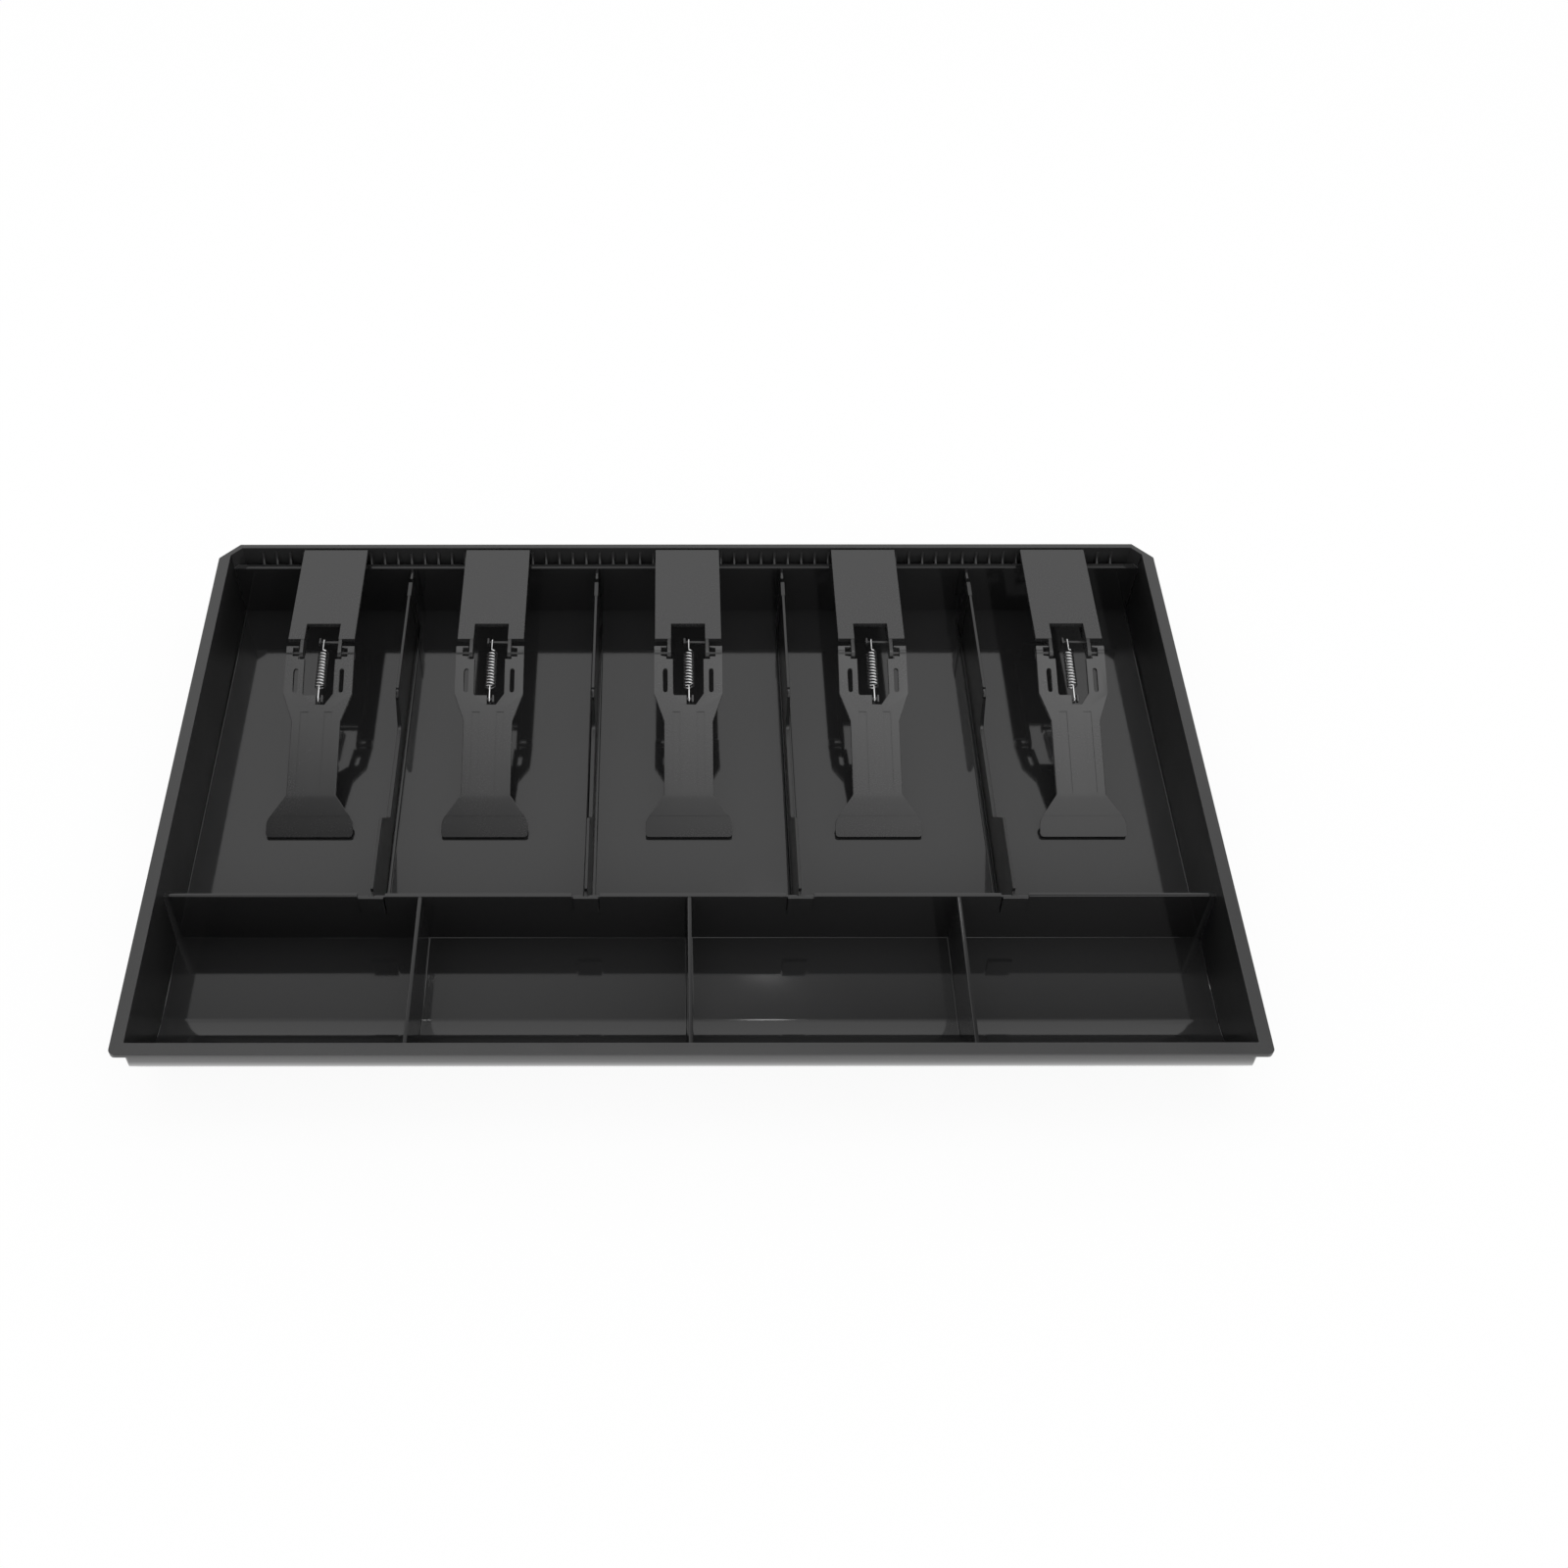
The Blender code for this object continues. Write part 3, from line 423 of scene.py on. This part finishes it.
def bevel_edges(
    thing: bpy.types.Object, choose: Callable[[bmesh.types.BMesh], Iterable[bmesh.types.BMEdge]],
    width: float, segments: int,
) -> None:
    """Bevel chosen edges of an object.

    Args:
        thing: The object.
        choose: Chooses the edges from the mesh.
        width: How far the bevel reaches from each edge.
        segments: How many steps it has.
    """

    def bevel() -> None:
        """Select the edges and bevel them."""
        shape = bmesh.from_edit_mesh(thing.data)
        bpy.ops.mesh.select_mode(type="EDGE")
        bpy.ops.mesh.select_all(action="DESELECT")
        taken = list(choose(shape))
        for edge in taken:
            edge.select_set(True)
        bmesh.update_edit_mesh(thing.data)
        if taken:
            bpy.ops.mesh.bevel(offset=width, segments=segments, clamp_overlap=False)
        bpy.ops.mesh.select_all(action="SELECT")
        bpy.ops.mesh.remove_doubles(threshold=MERGE)

    in_edit_mode(thing, bevel)


def copy_of_node(node: bpy.types.Object, name: str) -> bpy.types.Object:
    """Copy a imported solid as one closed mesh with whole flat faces.

    Args:
        node: The solid.
        name: The copy's name.

    Returns:
        The copy, riding on nothing yet.
    """
    twin = bpy.data.objects.new(name, node.data.copy())
    bpy.context.scene.collection.objects.link(twin)
    twin.data.materials.clear()
    focus(twin)
    bpy.ops.mesh.customdata_custom_splitnormals_clear()

    def merge() -> None:
        """Join the loose triangles and take out the lines across flat faces."""
        bpy.ops.mesh.select_all(action="SELECT")
        bpy.ops.mesh.remove_doubles(threshold=MERGE)
        bpy.ops.mesh.dissolve_limited(angle_limit=FLAT_TURN)

    in_edit_mode(twin, merge)
    return twin


def round_edges(thing: bpy.types.Object, rounding: Rounding) -> None:
    """Round the edges that a mould would round, then shade the piece.

    Args:
        thing: The piece.
        rounding: The width and reach of the rounding.
    """
    bevel_edges(thing, rounding.choose, rounding.width, rounding.segments)
    shade(thing)


def shade(thing: bpy.types.Object) -> None:
    """Shade a piece smooth across its roundings, with flat faces kept flat."""
    focus(thing)
    bpy.ops.object.shade_smooth_by_angle(angle=SMOOTH_TURN)
    bpy.ops.object.modifier_add(type="WEIGHTED_NORMAL")
    step = thing.modifiers[-1]
    step.keep_sharp = True
    step.weight = FACE_AREA_WEIGHT
    bpy.ops.object.modifier_apply(modifier=step.name)


def moved_copy(pattern: bpy.types.Object, name: str, shift: Vector) -> bpy.types.Object:
    """Copy a finished piece to another place, with its own mesh.

    Args:
        pattern: The finished piece.
        name: The copy's name.
        shift: How far the copy is moved.

    Returns:
        The copy, its place in its mesh.
    """
    twin = bpy.data.objects.new(name, pattern.data.copy())
    bpy.context.scene.collection.objects.link(twin)
    twin.data.transform(Matrix.Translation(shift))
    return twin


def settle(
    piece: bpy.types.Object, body: str, slot: Slot, finish: bpy.types.Material, *nodes: str,
) -> None:
    """Give a piece its finish, its body and the nodes that it stands for.

    Args:
        piece: The finished piece.
        body: The body that it rides on.
        slot: The record's material slot; not used.
        finish: Its material.
        nodes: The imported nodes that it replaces.
    """
    piece.data.materials.clear()
    piece.data.materials.append(finish)
    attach(piece, body)
    if nodes:
        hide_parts(*nodes)
    log.info("%s rides on %s with %d faces", piece.name, body, len(piece.data.polygons))


@dataclass(frozen=True)
class Finishes:
    """The six finishes, as built materials."""

    tray: bpy.types.Material
    rim: bpy.types.Material
    wall: bpy.types.Material
    divider: bpy.types.Material
    clip: bpy.types.Material
    wire: bpy.types.Material

    @classmethod
    def build(cls) -> "Finishes":
        """Build every finish on one shared grain group.

        Returns:
            The finishes.
        """
        grain = mould_grain()
        plastics = (
            PlasticFinish(
                "gloss_black_tray", colour=(0.015, 0.015, 0.0153), roughness=(0.05, 0.09),
                grain_scale=900.0, grain_depth=0.000001,
            ),
            PlasticFinish(
                "satin_black_rim", colour=(0.025, 0.025, 0.0253), roughness=(0.28, 0.36),
                grain_scale=2400.0, grain_depth=0.000004,
            ),
            # Side walls' inner faces: rougher than the gloss, and darker in colour as painted
            # shade.
            PlasticFinish(
                "rough_black_wall_painted_shade", colour=(0.012, 0.012, 0.0123), roughness=(0.34, 0.42),
                grain_scale=2400.0, grain_depth=0.000003,
            ),
            PlasticFinish(
                "satin_black_divider", colour=(0.009, 0.009, 0.0092), roughness=(0.28, 0.36),
                grain_scale=2400.0, grain_depth=0.000002,
            ),
            PlasticFinish(
                "satin_black_clip", colour=(0.026, 0.026, 0.0263), roughness=(0.22, 0.3),
                grain_scale=2400.0, grain_depth=0.000004,
            ),
        )
        return cls(*(finish.build(grain) for finish in plastics), WireFinish().build(grain))


class TrayFace(Enum):
    """Which of the tray's finishes a face has, by its place in the piece's list."""

    GLOSS = 0
    RIM = 1
    WALL = 2


@dataclass
class Tray:
    """The one-piece moulding that carries everything."""

    nodes: dict[str, bpy.types.Object]
    finish: bpy.types.Material
    rim_finish: bpy.types.Material
    wall_finish: bpy.types.Material
    rounding: Rounding = Rounding(0.35 * MM)
    side: float = 194.0 * MM
    side_reach: float = 2.0 * MM
    side_facing: float = 0.9
    floor: float = 2.1 * MM
    middle_wall: tuple[float, float] = (-54.0 * MM, -50.5 * MM)
    corner_fillet: float = 2.4 * MM
    base_fillet: float = 0.9 * MM
    least_fillet_length: float = 10.0 * MM
    fillet_steps: int = 4
    outer_side: float = 197.1 * MM
    outer_front: float = -90.0 * MM
    outer_fillet: float = 3.5 * MM
    rim_bottom: float = 34.6 * MM
    under_rim: float = 33.6 * MM
    rim_low: float = 34.45 * MM
    comb: tuple[float, float] = (117.9 * MM, 121.0 * MM)
    rib_bottom: float = 1.0 * MM
    rib_top: float = 4.5 * MM

    def build(self) -> None:
        """Copy the solid, fill its inner corners, round its edges and dress it."""
        piece = copy_of_node(self.nodes["tray"], "tray_moulding")
        bevel_edges(piece, self.corners, self.corner_fillet, self.fillet_steps)
        bevel_edges(piece, self.base_lines, self.base_fillet, self.fillet_steps)
        bevel_edges(piece, self.front_ends, self.outer_fillet, self.fillet_steps)
        bevel_edges(piece, self.rounded, self.rounding.width, self.rounding.segments)
        shade(piece)
        settle(piece, "tray", Slot.TRAY, self.finish, "tray")
        piece.data.materials.append(self.rim_finish)
        piece.data.materials.append(self.wall_finish)
        for face in piece.data.polygons:
            face.material_index = self.kind_of(face).value

    def kind_of(self, face: bpy.types.MeshPolygon) -> TrayFace:
        """Pick a face's finish.

        Args:
            face: A face of the finished piece.

        Returns:
            Satin for the rim and the comb, rougher and painted darker as shade for the side walls'
            inner faces, glossy for the rest.
        """
        place = face.center
        if place.z > self.rim_low or self.comb[0] < place.y < self.comb[1]:
            return TrayFace.RIM
        # The side walls' inner faces take the wall finish, whose darker colour is painted shade.
        inside = self.side < abs(place.x) < self.side + self.side_reach
        return TrayFace.WALL if inside and abs(face.normal.x) > self.side_facing else TrayFace.GLOSS

    def at_side(self, edge: bmesh.types.BMEdge) -> bool:
        """Tell whether an inner edge lies at a side wall."""
        return min(abs(corner.co.x) for corner in edge.verts) > self.side and not edge.is_convex

    def corners(self, shape: bmesh.types.BMesh) -> list[bmesh.types.BMEdge]:
        """Choose the upright corners between the side walls and the middle wall."""
        low, high = self.middle_wall
        return [
            edge for edge in shape.edges
            if self.at_side(edge) and all(low < corner.co.y < high for corner in edge.verts)
            and abs(edge.verts[0].co.z - edge.verts[1].co.z) > self.least_fillet_length
        ]

    def base_lines(self, shape: bmesh.types.BMesh) -> list[bmesh.types.BMEdge]:
        """Choose the lines where the side walls meet the floor."""
        return [
            edge for edge in shape.edges
            if self.at_side(edge) and max(corner.co.z for corner in edge.verts) < self.floor
            and abs(edge.verts[0].co.x - edge.verts[1].co.x) < MERGE
            and edge.calc_length() > self.least_fillet_length
        ]

    def front_ends(self, shape: bmesh.types.BMesh) -> list[bmesh.types.BMEdge]:
        """Choose the outer corners where the curved front turns into the side walls."""
        return [
            edge for edge in shape.edges
            if all(
                abs(corner.co.x) > self.outer_side and corner.co.y < self.outer_front
                and corner.co.z < self.rim_bottom for corner in edge.verts
            )
            and edge.is_convex and edge.calc_face_angle(0.0) > SQUARE_TURN
            and min(corner.co.z for corner in edge.verts) < self.under_rim
        ]

    def rounded(self, shape: bmesh.types.BMesh) -> list[bmesh.types.BMEdge]:
        """Choose the moulding's other edges, but not the sharp lines on the bays' floors."""
        bay_front = self.middle_wall[1]
        return [
            edge for edge in self.rounding.choose(shape)
            if not all(
                corner.co.y > bay_front and self.rib_bottom < corner.co.z < self.rib_top
                for corner in edge.verts
            )
        ]


@dataclass
class BillDividers:
    """The lift-out plates between the bill bays."""

    nodes: dict[str, bpy.types.Object]
    finish: bpy.types.Material
    front_finish: bpy.types.Material
    count: int = 4
    rounding: Rounding = Rounding(0.25 * MM)
    front: float = -53.5 * MM
    dip_fillet: float = 3.0 * MM
    dip_steps: int = 5
    dip_span: tuple[float, float] = (20.0 * MM, 60.0 * MM)
    dip_top: float = 25.0 * MM
    dip_turn: float = radians(60.0)

    def build(self) -> None:
        """Shape one divider and copy it to the other slots."""
        pattern = copy_of_node(self.nodes["bill_divider_1"], "divider_pattern")
        bevel_edges(pattern, self.dip_corner, self.dip_fillet, self.dip_steps)
        round_edges(pattern, self.rounding)
        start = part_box("bill_divider_1")[0]
        for k in range(1, self.count + 1):
            node = f"bill_divider_{k}"
            piece = moved_copy(pattern, f"{node}_plate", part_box(node)[0] - start)
            settle(piece, node, Slot.DIVIDER, self.finish, node)
            piece.data.materials.append(self.front_finish)
            for face in piece.data.polygons:
                face.material_index = 1 if face.center.y < self.front else 0
        bpy.data.objects.remove(pattern, do_unlink=True)

    def dip_corner(self, shape: bmesh.types.BMesh) -> list[bmesh.types.BMEdge]:
        """Choose the corner where the finger dip begins at the divider's top."""
        low, high = self.dip_span
        return [
            edge for edge in shape.edges
            if edge.is_convex and edge.calc_face_angle(0.0) > self.dip_turn
            and all(low < corner.co.y < high for corner in edge.verts)
            and min(corner.co.z for corner in edge.verts) > self.dip_top
            and abs(edge.verts[0].co.y - edge.verts[1].co.y) < MERGE
        ]


@dataclass
class Spring:
    """One extension spring of round wire, hooked at both ends."""

    anchor: Vector
    lug: Vector
    wire_radius: float = 0.34 * MM
    coil_radius: float = 1.87 * MM
    hook_radius: float = 1.56 * MM
    turns: int = 12
    coil_start: float = 4.4 * MM
    coil_end: float = 5.4 * MM
    lead_gap: float = 0.6 * MM
    lead_steps: int = 5
    hook_start: float = -0.62 * pi
    hook_sweep: float = 0.88 * pi
    hook_steps: int = 14
    steps_per_turn: int = 20
    sides: int = 10
    smooth_turn: float = radians(50.0)

    def centre_line(self) -> list[Vector]:
        """Lay the wire's centre line from the anchor's hook to the lug's.

        Returns:
            The points of the line.
        """
        along = (self.lug - self.anchor).normalized()
        length = (self.lug - self.anchor).length
        up = Vector((0.0, along.z, -along.y))
        flat = []
        for k in range(self.hook_steps + 1):
            turn = self.hook_start - self.hook_sweep * k / self.hook_steps
            flat.append((0.0, self.hook_radius * cos(turn), self.hook_radius * sin(turn)))
        rise = self.coil_radius - self.hook_radius
        run = self.coil_start - self.lead_gap
        for k in range(1, self.lead_steps + 1):
            share = k / self.lead_steps
            flat.append((0.0, run * share, self.hook_radius + rise * share))
        coil = length - self.coil_start - self.coil_end
        steps = self.turns * self.steps_per_turn
        wound = []
        for k in range(steps + 1):
            turn = 2 * pi * k / self.steps_per_turn
            wound.append((
                self.coil_radius * sin(turn),
                self.coil_start + coil * k / steps,
                self.coil_radius * cos(turn),
            ))
        far = [(across, length - s, u) for across, s, u in reversed(flat)]
        return [self.anchor + X_AXIS * a + along * s + up * u for a, s, u in flat + wound + far]

    def build(self, name: str) -> bpy.types.Object:
        """Sweep the wire along its line.

        Args:
            name: The piece's name.

        Returns:
            The spring as a mesh.
        """
        points = self.centre_line()
        curve = bpy.data.curves.new(name, "CURVE")
        curve.dimensions = "3D"
        curve.bevel_depth = self.wire_radius
        curve.bevel_resolution = self.sides // 2 - 2
        curve.use_fill_caps = True
        spline = curve.splines.new("POLY")
        spline.points.add(len(points) - 1)
        for point, place in zip(spline.points, points):
            point.co = (*place, 1.0)
        wire = bpy.data.objects.new(name, curve)
        bpy.context.scene.collection.objects.link(wire)
        focus(wire)
        bpy.ops.object.convert(target="MESH")
        bpy.ops.object.shade_smooth_by_angle(angle=self.smooth_turn)
        return wire


@dataclass
class Clips:
    """The five hold-down clips: bracket, arm and spring."""

    nodes: dict[str, bpy.types.Object]
    finish: bpy.types.Material
    wire: bpy.types.Material
    count: int = 5
    middle: int = 3
    rounding: Rounding = Rounding(0.2 * MM)
    anchor: Vector = Vector((0.75 * MM, 71.2 * MM, 30.3 * MM))
    lug: Vector = Vector((0.75 * MM, 45.23 * MM, 24.92 * MM))
    least_spring_share: float = 0.917

    def build(self) -> None:
        """Shape the middle clip's pieces and copy them to every clip."""
        bracket = copy_of_node(self.nodes[f"clip_{self.middle}_bracket"], "bracket_pattern")
        round_edges(bracket, self.rounding)
        arm = copy_of_node(self.nodes[f"clip_{self.middle}_arm"], "arm_pattern")
        round_edges(arm, self.rounding)
        spring = Spring(self.anchor, self.lug).build("spring_pattern")
        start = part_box(f"clip_{self.middle}_bracket")[0]
        for k in range(1, self.count + 1):
            name = f"clip_{k}"
            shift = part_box(f"{name}_bracket")[0] - start
            plate = moved_copy(bracket, f"{name}_bracket_moulding", shift)
            settle(plate, "tray", Slot.CLIP, self.finish, f"{name}_bracket")
            lever = moved_copy(arm, f"{name}_arm_moulding", shift)
            settle(lever, f"{name}_arm", Slot.CLIP, self.finish, f"{name}_arm")
            wound = moved_copy(spring, f"{name}_spring_wire", shift)
            settle(wound, f"{name}_spring", Slot.SPRING, self.wire, f"{name}_spring")
            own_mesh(wound)
        for pattern in (bracket, arm, spring):
            bpy.data.objects.remove(pattern, do_unlink=True)


@dataclass(frozen=True)
class Lamp:
    """One area lamp that faces the tray, as bright as white paper at a radiance of 1."""

    name: str
    place: tuple[float, float, float]
    size: tuple[float, float]
    radiance: float
    lights_matt: bool = True

    def hang(self) -> None:
        """Make the lamp and turn it to the tray."""
        data = bpy.data.lights.new(self.name, "AREA")
        data.shape = "RECTANGLE"
        data.size, data.size_y = self.size
        data.energy = self.radiance * pi * self.size[0] * self.size[1]
        lamp = bpy.data.objects.new(self.name, data)
        bpy.context.scene.collection.objects.link(lamp)
        lamp.location = self.place
        lamp.rotation_euler = (-Vector(self.place)).to_track_quat("-Z", "Y").to_euler()
        lamp.visible_diffuse = self.lights_matt


@dataclass
class Studio:
    """Camera, floor, white surroundings and soft lamps."""

    eye: Vector = Vector((-7.91 * MM, -437.53 * MM, 604.79 * MM))
    elevation: float = 0.83549
    turn: float = 0.00086
    roll: float = -0.00135
    lens: float = 42.477
    sensor: float = 36.0
    nearest: float = 0.01
    shift: tuple[float, float] = (0.0748, -0.1025)
    floor_size: float = 12.0
    paper: tuple[float, float, float, float] = (0.9, 0.9, 0.9, 1.0)
    diffuse_light: float = 0.95
    floor_seen: float = 0.93
    ceiling_z: float = 1.2
    ceiling_half: float = 2.5
    ceiling_y: tuple[float, float] = (-2.5, 1.0)
    fade_y: tuple[float, float] = (0.55, 0.85)
    turn_y: tuple[float, float] = (-0.1, 0.3)
    front_greys: tuple[float, tuple[float, float]] = (0.46, (0.0, 1.15))
    back_greys: tuple[float, tuple[float, float]] = (0.2, (0.5, 0.15))
    lamps: tuple[Lamp, ...] = (
        Lamp("top_box", (0.0, 0.12, 1.1), (1.2, 0.46), radiance=1.4),
        Lamp("back_glint", (0.185, 1.525, 2.5), (0.08, 0.08), radiance=13.0, lights_matt=False),
    )

    def build(self) -> None:
        """Set up everything that isn't part of the object."""
        self.add_camera()
        self.add_world()
        self.add_floor()
        self.add_ceiling()
        for lamp in self.lamps:
            lamp.hang()
        bpy.context.scene.view_settings.view_transform = "Standard"

    def add_camera(self) -> None:
        """Place the camera where the picture was taken from."""
        data = bpy.data.cameras.new("camera")
        data.sensor_width = self.sensor
        data.lens = self.lens
        data.shift_x, data.shift_y = self.shift
        data.clip_start = self.nearest
        camera = bpy.data.objects.new("camera", data)
        bpy.context.scene.collection.objects.link(camera)
        tilt = Matrix.Rotation(pi / 2 - self.elevation, 4, "X")
        spin = Matrix.Rotation(self.turn, 4, "Z")
        level = Matrix.Rotation(self.roll, 4, "Z")
        camera.matrix_world = Matrix.Translation(self.eye) @ spin @ tilt @ level
        bpy.context.scene.camera = camera

    def add_world(self) -> None:
        """Make the surroundings white to look at and plain as light."""
        world = bpy.data.worlds.new("studio")
        bpy.context.scene.world = world
        world.use_nodes = True
        nodes = Nodes(world.node_tree)
        surface = nodes.add("ShaderNodeOutputWorld")
        light = nodes.add("ShaderNodeBackground", {"Color": WHITE, "Strength": self.diffuse_light})
        seen = nodes.add("ShaderNodeBackground", {"Color": WHITE, "Strength": 1.0})
        path = nodes.add("ShaderNodeLightPath")
        direct = nodes.math("MAXIMUM", path.outputs["Is Camera Ray"], path.outputs["Is Glossy Ray"])
        clear = nodes.math("MAXIMUM", direct, path.outputs["Is Transmission Ray"])
        nodes.mix(clear, light, seen, surface)

    def add_floor(self) -> None:
        """Lay the pale floor, white to look at and with a faint shadow."""
        floor = self.add_card("studio_floor", self.floor_size)
        nodes, surface = self.dress_card(floor)
        paper = nodes.add("ShaderNodeBsdfDiffuse", {"Color": self.paper})
        glow = nodes.add("ShaderNodeEmission", {"Strength": 1.0})
        path = nodes.add("ShaderNodeLightPath")
        seen = nodes.math("MULTIPLY", path.outputs["Is Camera Ray"], self.floor_seen)
        share = nodes.math("MAXIMUM", seen, path.outputs["Is Glossy Ray"])
        nodes.mix(share, paper, glow, surface)

    def add_ceiling(self) -> None:
        """Hang a dim ceiling that only mirrored rays meet, fading out towards the back."""
        low, high = self.ceiling_y
        card = self.add_card("studio_ceiling", 2.0)
        for corner in card.data.vertices:
            across = corner.co.x * self.ceiling_half
            along = corner.co.y * (high - low) / 2 + (low + high) / 2
            corner.co = Vector((across, along, self.ceiling_z))
        nodes, surface = self.dress_card(card)
        place = nodes.add("ShaderNodeTexCoord")
        axes = nodes.add("ShaderNodeSeparateXYZ")
        nodes.join(place.outputs["Object"], axes.inputs[0])
        fade = nodes.ramp(axes.outputs["Y"], self.fade_y, interpolation_type="SMOOTHSTEP")
        turn = nodes.ramp(axes.outputs["Y"], self.turn_y)
        blend = nodes.add("ShaderNodeMix", data_type="FLOAT")
        nodes.join(turn, blend.inputs["Factor"])
        for socket, (reach, greys) in zip(blend.inputs[2:4], (self.front_greys, self.back_greys)):
            nodes.join(nodes.ramp(axes.outputs["X"], (-reach, reach), greys), socket)
        dim = nodes.add("ShaderNodeEmission")
        nodes.join(blend.outputs[0], dim.inputs["Strength"])
        nodes.mix(fade, dim, nodes.add("ShaderNodeBsdfTransparent"), surface)
        for ray in ("camera", "diffuse", "shadow", "transmission", "volume_scatter"):
            setattr(card, f"visible_{ray}", False)

    def add_card(self, name: str, size: float) -> bpy.types.Object:
        """Add a flat square that belongs to the studio.

        Args:
            name: The card's name.
            size: Its side.

        Returns:
            The card.
        """
        bpy.ops.object.select_all(action="DESELECT")
        bpy.ops.mesh.primitive_plane_add(size=size)
        card = bpy.context.object
        card.name = name
        return card

    def dress_card(self, card: bpy.types.Object) -> tuple[Nodes, bpy.types.Node]:
        """Give a card an empty material.

        Args:
            card: The card.

        Returns:
            The material's nodes and its output.
        """
        made = bpy.data.materials.new(card.name)
        made.use_nodes = True
        card.data.materials.append(made)
        nodes = Nodes(made.node_tree)
        return nodes, nodes.add("ShaderNodeOutputMaterial")


def main(frame: dict) -> None:
    """Dress every node and set up the studio.
    """
    logging.basicConfig(level=logging.INFO, format="%(name)s: %(message)s")
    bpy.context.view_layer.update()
    finishes = Finishes.build()
    nodes = frame["nodes"]
    Tray(nodes, finishes.tray, finishes.rim, finishes.wall).build()
    BillDividers(nodes, finishes.divider, finishes.tray).build()
    Clips(nodes, finishes.clip, finishes.wire).build()
    Studio().build()


if __name__ == "__main__":
    main(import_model())
